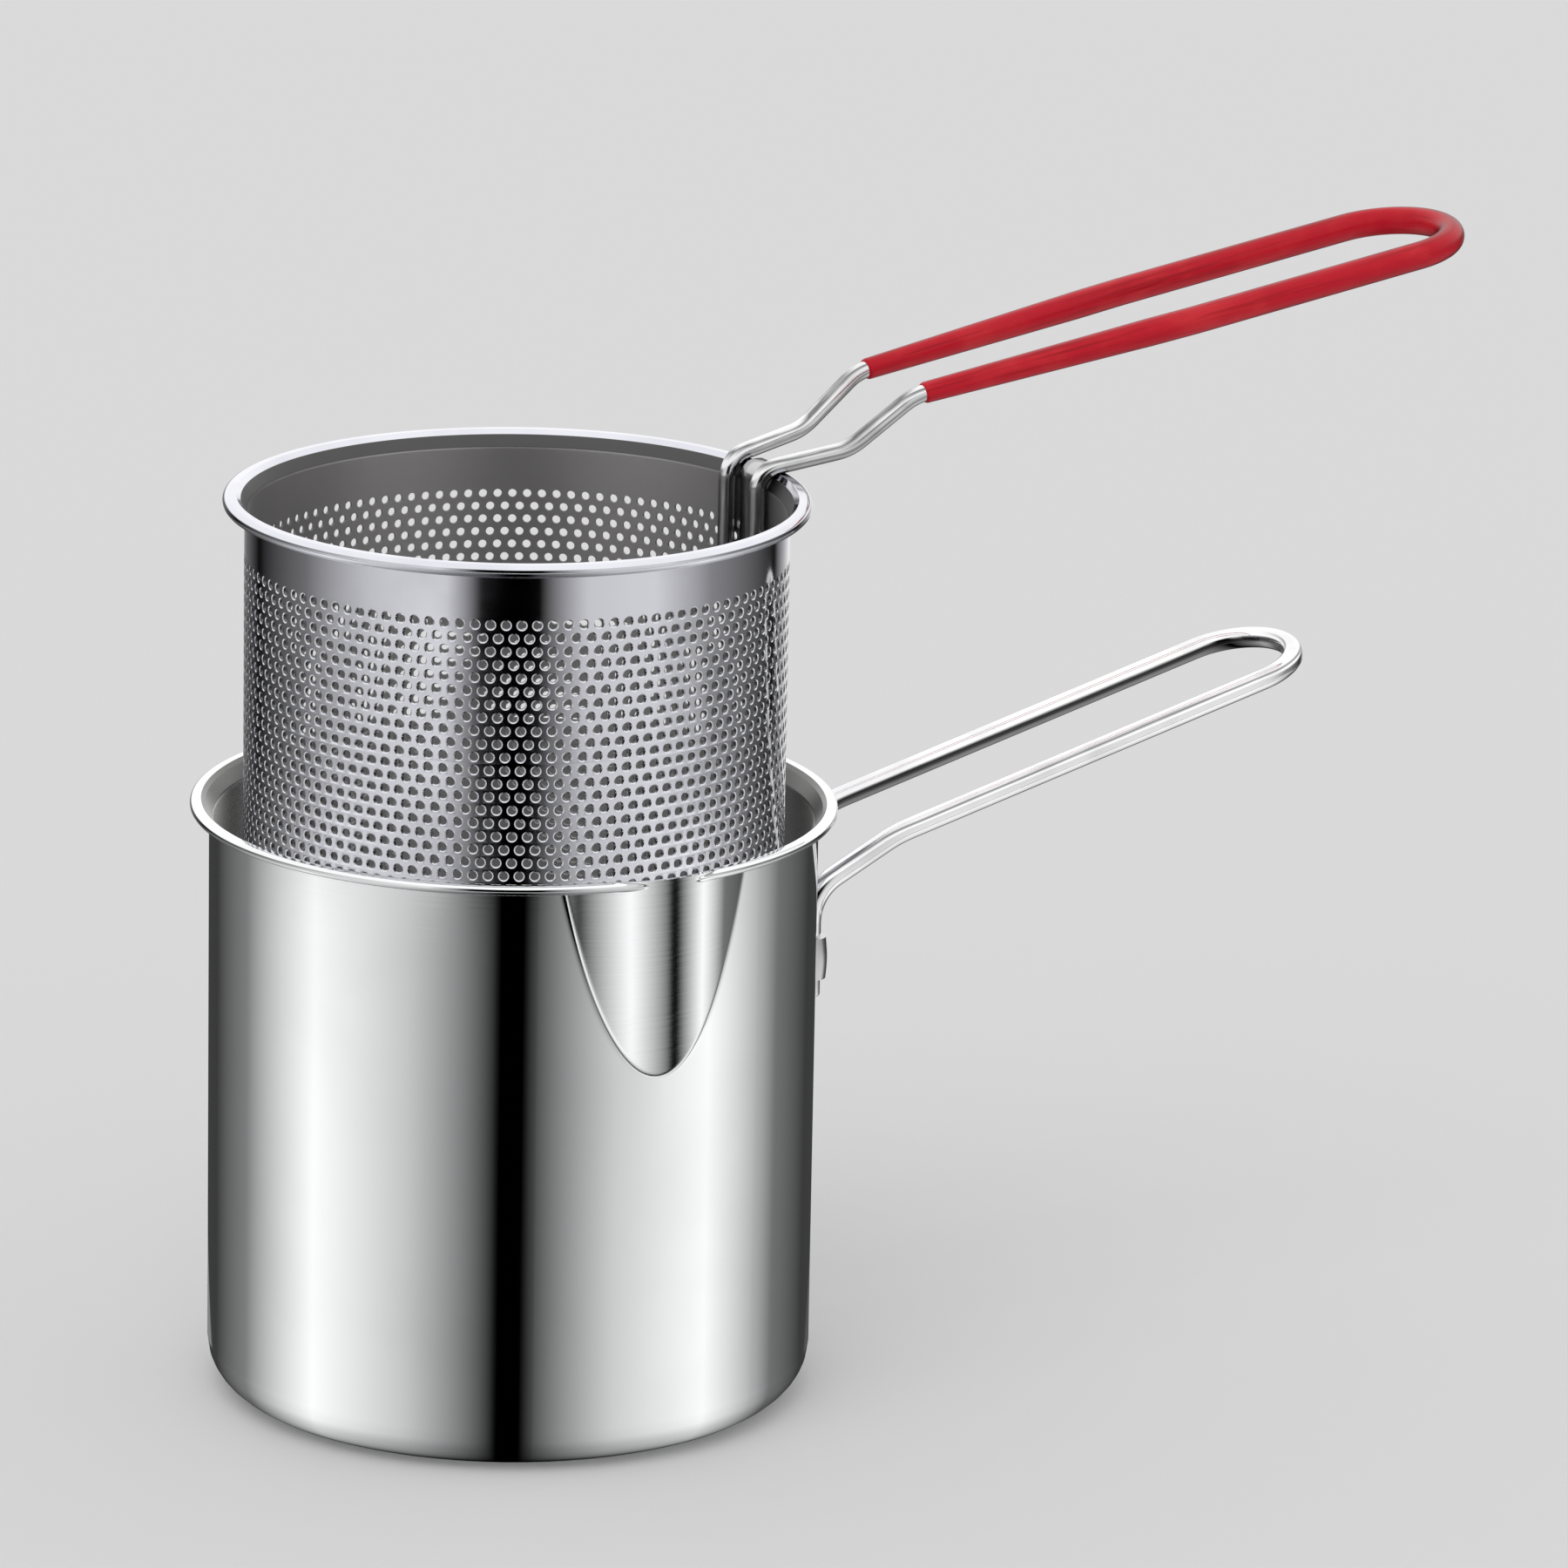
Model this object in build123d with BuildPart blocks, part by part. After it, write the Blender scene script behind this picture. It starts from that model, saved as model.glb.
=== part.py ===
from build123d import *
from math import degrees, hypot, pi, radians, sin, sqrt, tan
import os

# Deep fry pot with its perforated basket lifted above it, as in the photograph.
# Millimetres. The origin is the middle of the pot's underside, +Z is up,
# both handles reach along +X and the pouring spout faces -Y.

# Pot shell, drawn from one sheet
pot_diameter = 140.0
pot_height = 140.0
pot_sheet = 1.0
base_corner_radius = 11.0
lip_overhang = 4.4
lip_drop = 2.2
lip_bend = 1.1
mouth_round = 2.0

# Pouring spout, a small leaning cylinder pressed out below the lip
spout_depth = 46.0
spout_radius = 35.0
spout_reach = 4.9

# Wire loop handle of the pot: foot on the wall, knee, long rising limb, round end
pot_wire = 5.0
pot_foot_spacing = 28.0
pot_loop_width = 31.2
pot_foot_height = 87.0
pot_knee_gap = 10.5
pot_knee_radius = 12.0
pot_limb_start = 20.6
pot_limb_step = 11.8
pot_limb_radius = 28.0
pot_limb_length = 100.4
pot_limb_rise = 25.7

# Bracket that clamps the feet of the pot's wire to the wall
bracket_sheet = 1.2
bracket_foot_gap = 4.5
bracket_cover_height = 10.0
bracket_web_height = 21.5
bracket_flange = 4.5

# Perforated basket
basket_depth = 122.4
basket_sheet = 0.8
hole_width = 7.4
hole_row_pitch = 16.6
hole_row_count = 6
plain_band = 16.1
base_hem = 3.2
base_ring_count = 3
basket_mouth_round = 4.2
basket_lift = 72.3
bead_diameter = 3.0
bead_overhang = 5.0
mouth_gap = 1.8

# Wire loop handle of the basket: legs inside the wall, shelf over the rim, step, grip
basket_wire = 4.0
leg_spacing = 14.0
leg_length = 25.4
leg_knee_radius = 6.0
shelf_length = 15.2
shelf_rise = 2.6
shelf_spacing = 22.0
shelf_radius = 14.0
step_length = 15.8
step_rise = 11.5
step_spacing = 26.4
step_radius = 14.0
flare_length = 73.4
basket_limb_length = 136.2
basket_limb_rise = 21.0
basket_loop_width = 33.4
flare_radius = 150.0

# Dipped grip on the outer part of the basket's handle
grip_thickness = 1.3
grip_start_share = 0.02

# Saddle plate over the rim between the legs
saddle_sheet = 0.8
saddle_width = 7.8
saddle_leg_length = 17.4
saddle_hook_length = 2.6

# Clearances and the overrun of cuts
weld_gap = 0.05
leg_gap = 0.2
seat_gap = 0.3
overrun = 2.0

# How finely bends and wires are faceted, which keeps the meshed solids light
large_bend_chord_count = 3
small_bend_chord_count = 2
edge_bend_chord_count = 1
wire_sides = 8
grip_sides = 10
groove_sides = 16
basket_flats = 48
hole_sides = 6

os.makedirs("parts", exist_ok=True)


def save(piece, label):
    piece.part.label = label
    export_step(piece.part, f"parts/{label}.step")
    print(label, round(piece.part.volume, 1))


def chord_x(radius, half_spacing):
    # how far out a point at this radius lies when it stands this far off the X axis
    return sqrt(radius * radius - half_spacing * half_spacing)


def bent(*corners):
    # outline points, where a corner given as (x, z, radius, chords) becomes a round bend
    points = []
    for index, (x, z, *bend) in enumerate(corners):
        if not bend:
            points.append((x, z))
            continue
        radius, chords = bend
        here = Vector(x, z)
        back = (Vector(*corners[index - 1][:2]) - here).normalized()
        ahead = (Vector(*corners[(index + 1) % len(corners)][:2]) - here).normalized()
        half = radians(back.get_angle(ahead)) / 2
        centre = here + (back + ahead).normalized() * (radius / sin(half))
        start = here + back * (radius / tan(half)) - centre
        turn = pi - 2 * half
        side = 1 if back.cross(ahead).Z < 0 else -1
        for step in range(chords + 1):
            spoke = start.rotate(Axis.Z, degrees(side * turn * step / chords))
            points.append((centre.X + spoke.X, centre.Y + spoke.Y))
    # where one bend runs straight into the next, their shared point is kept once
    apart = [Vector(*a) != Vector(*b) for a, b in zip(points, points[1:])]
    return points[:1] + [point for point, new in zip(points[1:], apart) if new]


def mirrored(points):
    return [(x, -y, z) for x, y, z in reversed(points)]


def loop_tip(last, before, half_width):
    # middle of the round end, half a loop width beyond the last point along its limb
    run = last[0] - before[0]
    rise = last[2] - before[2]
    reach = half_width / hypot(run, rise)
    return (last[0] + run * reach, 0, last[2] + rise * reach)


# Pot body: shell with a rounded base, out-turned lip and pressed spout
pot_radius = pot_diameter / 2
mouth_radius = pot_radius - pot_sheet
lip_radius = pot_radius + lip_overhang
spout_foot = pot_height - spout_depth
spout_centre = pot_radius - spout_radius
spout_slope = Vector(0, -spout_reach, spout_depth)
spout_length = spout_slope.length + overrun
spout_plane = Plane(
    origin=(0, -spout_centre, spout_foot), x_dir=(1, 0, 0), z_dir=spout_slope
)

with BuildPart() as pot_body:
    with BuildSketch(Plane.XZ):
        with BuildLine():
            Polyline(
                *bent(
                    (0, 0),
                    (pot_radius, 0, base_corner_radius, large_bend_chord_count),
                    (pot_radius, pot_height - lip_drop),
                    (lip_radius, pot_height - lip_drop),
                    (lip_radius, pot_height, lip_bend, edge_bend_chord_count),
                    (0, pot_height),
                ),
                close=True,
            )
        make_face()
    revolve(axis=Axis.Z)
    with BuildSketch(spout_plane):
        Circle(spout_radius)
    extrude(amount=spout_length)
    split(bisect_by=Plane.XY.offset(pot_height), keep=Keep.BOTTOM)
    with BuildSketch(Plane.XZ):
        with BuildLine():
            Polyline(
                *bent(
                    (0, pot_sheet),
                    (
                        mouth_radius,
                        pot_sheet,
                        base_corner_radius - pot_sheet,
                        small_bend_chord_count,
                    ),
                    (mouth_radius, pot_height, mouth_round, edge_bend_chord_count),
                    (lip_radius, pot_height),
                    (lip_radius, pot_height + overrun),
                    (0, pot_height + overrun),
                ),
                close=True,
            )
        make_face()
    revolve(axis=Axis.Z, mode=Mode.SUBTRACT)
    with BuildSketch(spout_plane):
        Circle(spout_radius - pot_sheet)
    extrude(amount=spout_length, mode=Mode.SUBTRACT)
save(pot_body, "pot_body")


# Pot handle: one bent wire, both feet against the wall
pot_wire_radius = pot_wire / 2
foot_half = pot_foot_spacing / 2
pot_half = pot_loop_width / 2
bracket_foot = pot_foot_height + bracket_foot_gap
pot_knee_height = bracket_foot + bracket_cover_height + pot_knee_gap
pot_limb_height = pot_knee_height + pot_limb_step
foot_x = chord_x(pot_radius + weld_gap + pot_wire_radius, foot_half)
pot_limb = [
    (foot_x, foot_half, pot_foot_height),
    (foot_x, foot_half, pot_knee_height),
    (pot_radius + pot_limb_start + pot_wire_radius, pot_half, pot_limb_height),
    (
        pot_radius + pot_limb_start + pot_wire_radius + pot_limb_length,
        pot_half,
        pot_limb_height + pot_limb_rise,
    ),
]
pot_tip = loop_tip(pot_limb[-1], pot_limb[-2], pot_half)

with BuildPart() as pot_handle:
    with BuildLine() as pot_route:
        FilletPolyline(*pot_limb, radius=[pot_knee_radius, pot_limb_radius])
        ThreePointArc(pot_limb[-1], pot_tip, mirrored(pot_limb)[0])
        FilletPolyline(*mirrored(pot_limb), radius=[pot_limb_radius, pot_knee_radius])
    with BuildSketch(Plane(origin=pot_limb[0], x_dir=(1, 0, 0), z_dir=(0, 0, 1))):
        RegularPolygon(pot_wire_radius, wire_sides)
    sweep(path=pot_route.wires()[0])
save(pot_handle, "pot_handle")


# Pot bracket: a pressed strap with a groove over each foot and a web between them
groove_radius = pot_wire_radius + weld_gap
cover_radius = groove_radius + bracket_sheet
strap_radius = pot_radius + weld_gap + bracket_sheet
strap_reach = foot_half + cover_radius + bracket_flange
strap_depth = strap_radius + overrun
web_reach = foot_half - cover_radius

with BuildPart() as pot_bracket:
    with BuildSketch(Plane.XY.offset(bracket_foot)):
        Circle(strap_radius)
        with Locations((strap_depth / 2, 0)):
            Rectangle(strap_depth, 2 * strap_reach, mode=Mode.INTERSECT)
        with Locations((foot_x, foot_half), (foot_x, -foot_half)):
            RegularPolygon(cover_radius, groove_sides)
        with Locations((foot_x, foot_half), (foot_x, -foot_half)):
            RegularPolygon(groove_radius, groove_sides, mode=Mode.SUBTRACT)
        Circle(pot_radius + weld_gap, mode=Mode.SUBTRACT)
    extrude(amount=bracket_cover_height)
    with BuildSketch(Plane.XY.offset(bracket_foot)):
        Circle(strap_radius)
        with Locations((strap_depth / 2, 0)):
            Rectangle(strap_depth, 2 * web_reach, mode=Mode.INTERSECT)
        Circle(pot_radius + weld_gap, mode=Mode.SUBTRACT)
    extrude(amount=bracket_web_height)
save(pot_bracket, "pot_bracket")


# Basket: heights follow from how far it is lifted off its seat on the pot's lip
basket_radius = mouth_radius - mouth_gap - bead_overhang
basket_inner = basket_radius - basket_sheet
bead_radius = bead_diameter / 2
bead_ring = basket_radius + bead_overhang - bead_radius
basket_wire_radius = basket_wire / 2
wire_over_bead = bead_radius + weld_gap + basket_wire_radius
shelf_slope = shelf_rise / shelf_length
shelf_at_lip = wire_over_bead + shelf_slope * (pot_radius - bead_ring)
seat_height = pot_height + seat_gap + basket_wire_radius - shelf_at_lip
bead_height = seat_height + basket_lift
basket_foot = bead_height - basket_depth

# Basket wall: perforated sheet in many narrow flats, its lower edge turned in under
# the base, its upper edge rounded outwards and rolled into a bead
bead_foot = bead_height - bead_radius
bead_top = bead_height + bead_radius
bead_outer = bead_ring + bead_radius
hem_inner = basket_inner - base_hem
hem_top = basket_foot + basket_sheet
half_flat = 180 / basket_flats
hole_radius = hole_width / 2
holes_per_row = basket_flats // 2
hole_planes = []
for row in range(hole_row_count):
    row_height = bead_foot - plain_band - hole_row_pitch * row
    for column in range(holes_per_row):
        outward = Vector(1, 0, 0).rotate(Axis.Z, 2 * half_flat * (2 * column + row % 2))
        start = outward * (basket_inner - overrun) + Vector(0, 0, row_height)
        hole_planes.append(Plane(start, z_dir=outward))

with BuildSketch() as basket_ring:
    RegularPolygon(basket_radius, basket_flats, major_radius=False, rotation=half_flat)

with BuildPart() as basket_wall:
    with BuildSketch(Plane.XZ):
        with BuildLine():
            Polyline(
                *bent(
                    (hem_inner, basket_foot),
                    (basket_radius, basket_foot),
                    (basket_radius, bead_foot),
                    (bead_outer, bead_foot, bead_radius, large_bend_chord_count),
                    (bead_outer, bead_top, bead_radius, large_bend_chord_count),
                    (basket_inner, bead_top, basket_mouth_round, large_bend_chord_count),
                    (basket_inner, hem_top),
                    (hem_inner, hem_top),
                ),
                close=True,
            )
        make_face()
    sweep(path=basket_ring.sketch.face().outer_wire(), transition=Transition.RIGHT)
    with BuildSketch(*hole_planes):
        RegularPolygon(hole_radius, hole_sides)
    extrude(amount=basket_sheet + 2 * overrun, mode=Mode.SUBTRACT)
save(basket_wall, "basket_wall")


# Basket base: a perforated disc that lies on the wall's turned-in edge
base_foot = hem_top + weld_gap
base_radius = basket_inner - weld_gap

with BuildPart() as basket_base:
    with BuildSketch(Plane.XY.offset(base_foot)):
        RegularPolygon(base_radius, basket_flats, major_radius=False, rotation=half_flat)
        RegularPolygon(hole_radius, hole_sides, mode=Mode.SUBTRACT)
        for ring in range(1, base_ring_count + 1):
            with PolarLocations(hole_row_pitch * ring, hole_sides * ring):
                RegularPolygon(hole_radius, hole_sides, mode=Mode.SUBTRACT)
    extrude(amount=basket_sheet)
save(basket_base, "basket_base")


# Basket handle: one bent wire, legs inside the wall, over the bead and up a step
leg_half = leg_spacing / 2
leg_x = chord_x(basket_inner - leg_gap - basket_wire_radius, leg_half)
shelf_height = bead_height + wire_over_bead
shelf_end = bead_ring + shelf_length
step_end = shelf_end + step_length
step_height = shelf_height + shelf_rise + step_rise
limb_slope = basket_limb_rise / basket_limb_length
basket_half = basket_loop_width / 2
basket_limb = [
    (leg_x, leg_half, bead_height - leg_length),
    (leg_x, leg_half, shelf_height - shelf_slope * (bead_ring - leg_x)),
    (shelf_end, shelf_spacing / 2, shelf_height + shelf_rise),
    (step_end, step_spacing / 2, step_height),
    (step_end + flare_length, basket_half, step_height + limb_slope * flare_length),
    (step_end + basket_limb_length, basket_half, step_height + basket_limb_rise),
]
basket_tip = loop_tip(basket_limb[-1], basket_limb[-2], basket_half)
basket_bends = [leg_knee_radius, shelf_radius, step_radius, flare_radius]

with BuildPart() as basket_handle:
    with BuildLine() as basket_route:
        FilletPolyline(*basket_limb, radius=basket_bends)
        ThreePointArc(basket_limb[-1], basket_tip, mirrored(basket_limb)[0])
        FilletPolyline(*mirrored(basket_limb), radius=basket_bends[::-1])
    with BuildSketch(Plane(origin=basket_limb[0], x_dir=(1, 0, 0), z_dir=(0, 0, 1))):
        RegularPolygon(basket_wire_radius, wire_sides)
    sweep(path=basket_route.wires()[0])
save(basket_handle, "basket_handle")


# Basket grip: a dipped sleeve over the outer part of the loop
grip_radius = basket_wire_radius + grip_thickness
grip_run = [
    tuple(
        start + grip_start_share * (end - start)
        for start, end in zip(basket_limb[3], basket_limb[4])
    ),
    *basket_limb[4:],
]

with BuildPart() as basket_grip:
    with BuildLine() as grip_route:
        FilletPolyline(*grip_run, radius=[flare_radius])
        ThreePointArc(basket_limb[-1], basket_tip, mirrored(basket_limb)[0])
        FilletPolyline(*mirrored(grip_run), radius=[flare_radius])
    with BuildSketch(Plane(origin=grip_run[0], z_dir=grip_route.wires()[0] % 0)):
        RegularPolygon(grip_radius, grip_sides)
    sweep(path=grip_route.wires()[0])
    add(basket_handle.part, mode=Mode.SUBTRACT)
save(basket_grip, "basket_grip")


# Basket saddle: a sheet hook over the rim between the legs, welded to both
saddle_outer = basket_inner - weld_gap
saddle_inner = saddle_outer - saddle_sheet
saddle_under = bead_top + weld_gap
saddle_top = saddle_under + saddle_sheet
mouth_bend = basket_mouth_round + weld_gap
hook_bend = bead_radius + weld_gap
hook_outer = bead_outer + weld_gap + saddle_sheet

with BuildPart() as basket_saddle:
    with BuildSketch(Plane.XZ):
        with BuildLine():
            Polyline(
                *bent(
                    (saddle_inner, bead_height - saddle_leg_length),
                    (saddle_inner, saddle_top, mouth_bend + saddle_sheet, large_bend_chord_count),
                    (hook_outer, saddle_top, hook_bend + saddle_sheet, large_bend_chord_count),
                    (hook_outer, bead_height - saddle_hook_length),
                    (hook_outer - saddle_sheet, bead_height - saddle_hook_length),
                    (hook_outer - saddle_sheet, saddle_under, hook_bend, large_bend_chord_count),
                    (saddle_outer, saddle_under, mouth_bend, large_bend_chord_count),
                    (saddle_outer, bead_height - saddle_leg_length),
                ),
                close=True,
            )
        make_face()
    extrude(amount=saddle_width / 2, both=True)
save(basket_saddle, "basket_saddle")
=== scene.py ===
from math import atan, ceil, cos, hypot, pi, radians, sin, sqrt, tan

import bpy
import bmesh
import numpy as np
from mathutils import Matrix, Quaternion, Vector


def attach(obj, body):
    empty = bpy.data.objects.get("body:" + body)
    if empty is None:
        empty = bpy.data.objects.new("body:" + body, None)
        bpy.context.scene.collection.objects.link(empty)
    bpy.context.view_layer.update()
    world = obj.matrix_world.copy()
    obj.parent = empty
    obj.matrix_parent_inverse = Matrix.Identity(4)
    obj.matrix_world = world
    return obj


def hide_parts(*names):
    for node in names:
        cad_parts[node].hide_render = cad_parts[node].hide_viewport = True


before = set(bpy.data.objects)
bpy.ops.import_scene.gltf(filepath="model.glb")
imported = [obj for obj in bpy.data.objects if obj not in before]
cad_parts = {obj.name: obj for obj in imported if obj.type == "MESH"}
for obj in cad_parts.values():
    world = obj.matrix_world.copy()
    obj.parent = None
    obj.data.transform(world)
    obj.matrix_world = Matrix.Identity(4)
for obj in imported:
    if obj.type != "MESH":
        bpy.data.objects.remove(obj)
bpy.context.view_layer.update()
scene = bpy.context.scene
mm = 0.001
print("frame loaded:", ", ".join(sorted(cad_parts)))


# Small helpers for meshes

def makePiece(mesh, name, body, nodes, material):
    piece = bpy.data.objects.new(name, mesh)
    scene.collection.objects.link(piece)
    mesh.materials.clear()
    mesh.materials.append(material)
    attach(piece, body)
    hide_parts(*nodes)
    print("piece", name, len(mesh.polygons), "faces")
    return piece


def smoothMesh(mesh, sharpAngle):
    mesh.shade_smooth()
    mesh.set_sharp_from_angle(angle=radians(sharpAngle))


def roundedOutline(corners, arcSteps):
    # corners are (x, z, radius), and a radius of 0 keeps the corner sharp
    outline = []
    for index, (x, z, radius) in enumerate(corners):
        here = Vector((x, z))
        if not radius:
            outline.append(here)
            continue
        back = (Vector(corners[index - 1][:2]) - here).normalized()
        ahead = (Vector(corners[(index + 1) % len(corners)][:2]) - here).normalized()
        half = back.angle(ahead) / 2
        centre = here + (back + ahead).normalized() * radius / sin(half)
        start = here + back * radius / tan(half) - centre
        turn = (pi - 2 * half) * (1 if back.x * ahead.y < back.y * ahead.x else -1)
        for step in range(arcSteps + 1):
            outline.append(centre + Matrix.Rotation(turn * step / arcSteps, 2) @ start)
    return outline


def gridMesh(name, rings, closed):
    # rings[i][j] is point i of the outline at column j, and columns always close on themselves
    rows, columns = len(rings), len(rings[0])
    points = np.asarray(rings, float).reshape(-1, 3)
    faces = []
    for row in range(rows if closed else rows - 1):
        here, after = row * columns, (row + 1) % rows * columns
        for column in range(columns):
            side = (column + 1) % columns
            faces.append((here + column, here + side, after + side, after + column))
    mesh = bpy.data.meshes.new(name)
    mesh.from_pydata(points.tolist(), [], faces)
    work = bmesh.new()
    work.from_mesh(mesh)
    bmesh.ops.remove_doubles(work, verts=work.verts, dist=1e-7)
    bmesh.ops.recalc_face_normals(work, faces=work.faces)
    work.to_mesh(mesh)
    work.free()
    return mesh


def lathe(name, outline, columns, closed=True, sharpAngle=40):
    turns = np.linspace(0, 2 * pi, columns, endpoint=False)
    rings = [
        np.stack([x * np.cos(turns), x * np.sin(turns), np.full(columns, z)], 1)
        for x, z in outline
    ]
    mesh = gridMesh(name, rings, closed)
    smoothMesh(mesh, sharpAngle)
    return mesh


def roundedRoute(corners, radii, arcStep):
    # a wire's centre line, straight runs joined by arcs
    route = [corners[0]]
    for before, here, after, radius in zip(corners, corners[1:], corners[2:], radii):
        back, ahead = (before - here).normalized(), (after - here).normalized()
        half = back.angle(ahead) / 2
        centre = here + (back + ahead).normalized() * radius / sin(half)
        start = here + back * radius / tan(half) - centre
        end = here + ahead * radius / tan(half) - centre
        turn = pi - 2 * half
        steps = max(3, ceil(turn * radius / arcStep))
        axis = start.cross(end).normalized()
        route += [centre + Quaternion(axis, turn * step / steps) @ start for step in range(steps + 1)]
    return route + [corners[-1]]


def loopRoute(limb, radii, arcStep):
    # out along one limb, round the end in half a circle, and back along the other
    half = roundedRoute(limb, radii, arcStep)
    last, ahead = limb[-1], (limb[-1] - limb[-2]).normalized()
    centre, width = Vector((last.x, 0, last.z)), last.y
    steps = ceil(pi * width / arcStep)
    bow = [
        centre + Vector((0, width * cos(pi * step / steps), 0)) + ahead * width * sin(pi * step / steps)
        for step in range(1, steps)
    ]
    return half + bow + [Vector((p.x, -p.y, p.z)) for p in reversed(half)]


def tubeMesh(name, route, radii, sides):
    # a closed tube whose UV map runs along and around it
    distances = [0.0]
    for start, end in zip(route, route[1:]):
        distances.append(distances[-1] + (end - start).length)
    ahead = (route[1] - route[0]).normalized()
    across = ahead.orthogonal().normalized()
    points = []
    for index, (point, radius) in enumerate(zip(route, radii)):
        before = route[max(index - 1, 0)]
        after = route[min(index + 1, len(route) - 1)]
        turned = (after - before).normalized()
        across = ahead.rotation_difference(turned) @ across
        ahead = turned
        up = ahead.cross(across)
        for side in range(sides):
            turn = 2 * pi * side / sides
            points.append(point + (across * cos(turn) + up * sin(turn)) * radius)
    faces, uvs = [], []
    for ring in range(len(route) - 1):
        for side in range(sides):
            beside = (side + 1) % sides
            here, there = ring * sides, (ring + 1) * sides
            faces.append((here + side, here + beside, there + beside, there + side))
            low, high = distances[ring], distances[ring + 1]
            left, right = side / sides, (side + 1) / sides
            uvs += [(low, left), (low, right), (high, right), (high, left)]
    last = (len(route) - 1) * sides
    faces.append(tuple(range(sides - 1, -1, -1)))
    faces.append(tuple(range(last, last + sides)))
    uvs += [(0, side / sides) for side in range(sides)]
    uvs += [(distances[-1], side / sides) for side in range(sides)]
    mesh = bpy.data.meshes.new(name)
    mesh.from_pydata([tuple(p) for p in points], [], faces)
    layer = mesh.uv_layers.new(name="alongTube")
    layer.data.foreach_set("uv", np.asarray(uvs, np.float32).ravel())
    smoothMesh(mesh, 50)
    return mesh


def withRoundEnds(route, radii, edge, steps=4):
    # the same tube with its two cut ends rounded off over a short edge
    def cap(point, ahead, radius):
        turns = [pi / 2 * step / steps for step in range(steps)]
        return [(point + ahead * edge * sin(t), radius - edge * (1 - cos(t))) for t in turns[1:]] + [
            (point + ahead * edge, radius - edge)
        ]
    startAhead = (route[0] - route[1]).normalized()
    endAhead = (route[-1] - route[-2]).normalized()
    first = cap(route[0] - startAhead * edge, startAhead, radii[0])
    final = cap(route[-1] - endAhead * edge, endAhead, radii[-1])
    middle = [(route[0] - startAhead * edge, radii[0])] + list(zip(route, radii))[1:-1]
    middle += [(route[-1] - endAhead * edge, radii[-1])]
    joined = list(reversed(first)) + middle + final
    return [point for point, radius in joined], [radius for point, radius in joined]


# Small helpers for node trees

def addNode(tree, kind, **settings):
    node = tree.nodes.new(kind)
    for key, value in settings.items():
        setattr(node, key, value)
    return node


def join(tree, source, target):
    tree.links.new(source, target)


def mathNode(tree, operation, *values):
    node = addNode(tree, "ShaderNodeMath", operation=operation)
    for socket, value in zip(node.inputs, values):
        if isinstance(value, (int, float)):
            socket.default_value = value
        else:
            join(tree, value, socket)
    return node.outputs[0]


# Shared shader effects

def polishGroup():
    # fine polishing lines drawn out one way, as roughness and as height
    group = bpy.data.node_groups.new("polishLines", "ShaderNodeTree")
    face = group.interface
    face.new_socket("Vector", in_out="INPUT", socket_type="NodeSocketVector")
    face.new_socket("Stretch", in_out="INPUT", socket_type="NodeSocketVector")
    face.new_socket("Roughness", in_out="INPUT", socket_type="NodeSocketFloat")
    face.new_socket("Spread", in_out="INPUT", socket_type="NodeSocketFloat")
    face.new_socket("Roughness", in_out="OUTPUT", socket_type="NodeSocketFloat")
    face.new_socket("Height", in_out="OUTPUT", socket_type="NodeSocketFloat")
    inside = addNode(group, "NodeGroupInput")
    outside = addNode(group, "NodeGroupOutput")
    drawn = addNode(group, "ShaderNodeVectorMath", operation="MULTIPLY")
    join(group, inside.outputs["Vector"], drawn.inputs[0])
    join(group, inside.outputs["Stretch"], drawn.inputs[1])
    lines = addNode(group, "ShaderNodeTexNoise")
    lines.inputs["Scale"].default_value = 1.0
    lines.inputs["Detail"].default_value = 4.0
    lines.inputs["Roughness"].default_value = 0.65
    join(group, drawn.outputs[0], lines.inputs["Vector"])
    centred = mathNode(group, "SUBTRACT", lines.outputs[0], 0.5)
    spread = mathNode(group, "MULTIPLY", centred, inside.outputs["Spread"])
    rough = mathNode(group, "ADD", spread, inside.outputs["Roughness"])
    join(group, mathNode(group, "MAXIMUM", rough, 0.02), outside.inputs["Roughness"])
    join(group, lines.outputs[0], outside.inputs["Height"])
    return group


def smudgeGroup():
    # broad uneven patches, as from handling and washing
    group = bpy.data.node_groups.new("smudges", "ShaderNodeTree")
    face = group.interface
    face.new_socket("Vector", in_out="INPUT", socket_type="NodeSocketVector")
    face.new_socket("Scale", in_out="INPUT", socket_type="NodeSocketFloat")
    face.new_socket("Clean", in_out="INPUT", socket_type="NodeSocketColor")
    face.new_socket("Worn", in_out="INPUT", socket_type="NodeSocketColor")
    face.new_socket("Color", in_out="OUTPUT", socket_type="NodeSocketColor")
    face.new_socket("Mask", in_out="OUTPUT", socket_type="NodeSocketFloat")
    inside = addNode(group, "NodeGroupInput")
    outside = addNode(group, "NodeGroupOutput")
    cloud = addNode(group, "ShaderNodeTexNoise")
    cloud.inputs["Detail"].default_value = 3.0
    join(group, inside.outputs["Vector"], cloud.inputs["Vector"])
    join(group, inside.outputs["Scale"], cloud.inputs["Scale"])
    mask = addNode(group, "ShaderNodeMapRange", interpolation_type="SMOOTHSTEP")
    mask.inputs["From Min"].default_value = 0.42
    mask.inputs["From Max"].default_value = 0.68
    join(group, cloud.outputs[0], mask.inputs["Value"])
    mixed = addNode(group, "ShaderNodeMix", data_type="RGBA")
    join(group, mask.outputs[0], mixed.inputs[0])
    join(group, inside.outputs["Clean"], mixed.inputs[6])
    join(group, inside.outputs["Worn"], mixed.inputs[7])
    join(group, mixed.outputs[2], outside.inputs["Color"])
    join(group, mask.outputs[0], outside.inputs["Mask"])
    return group


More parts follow.
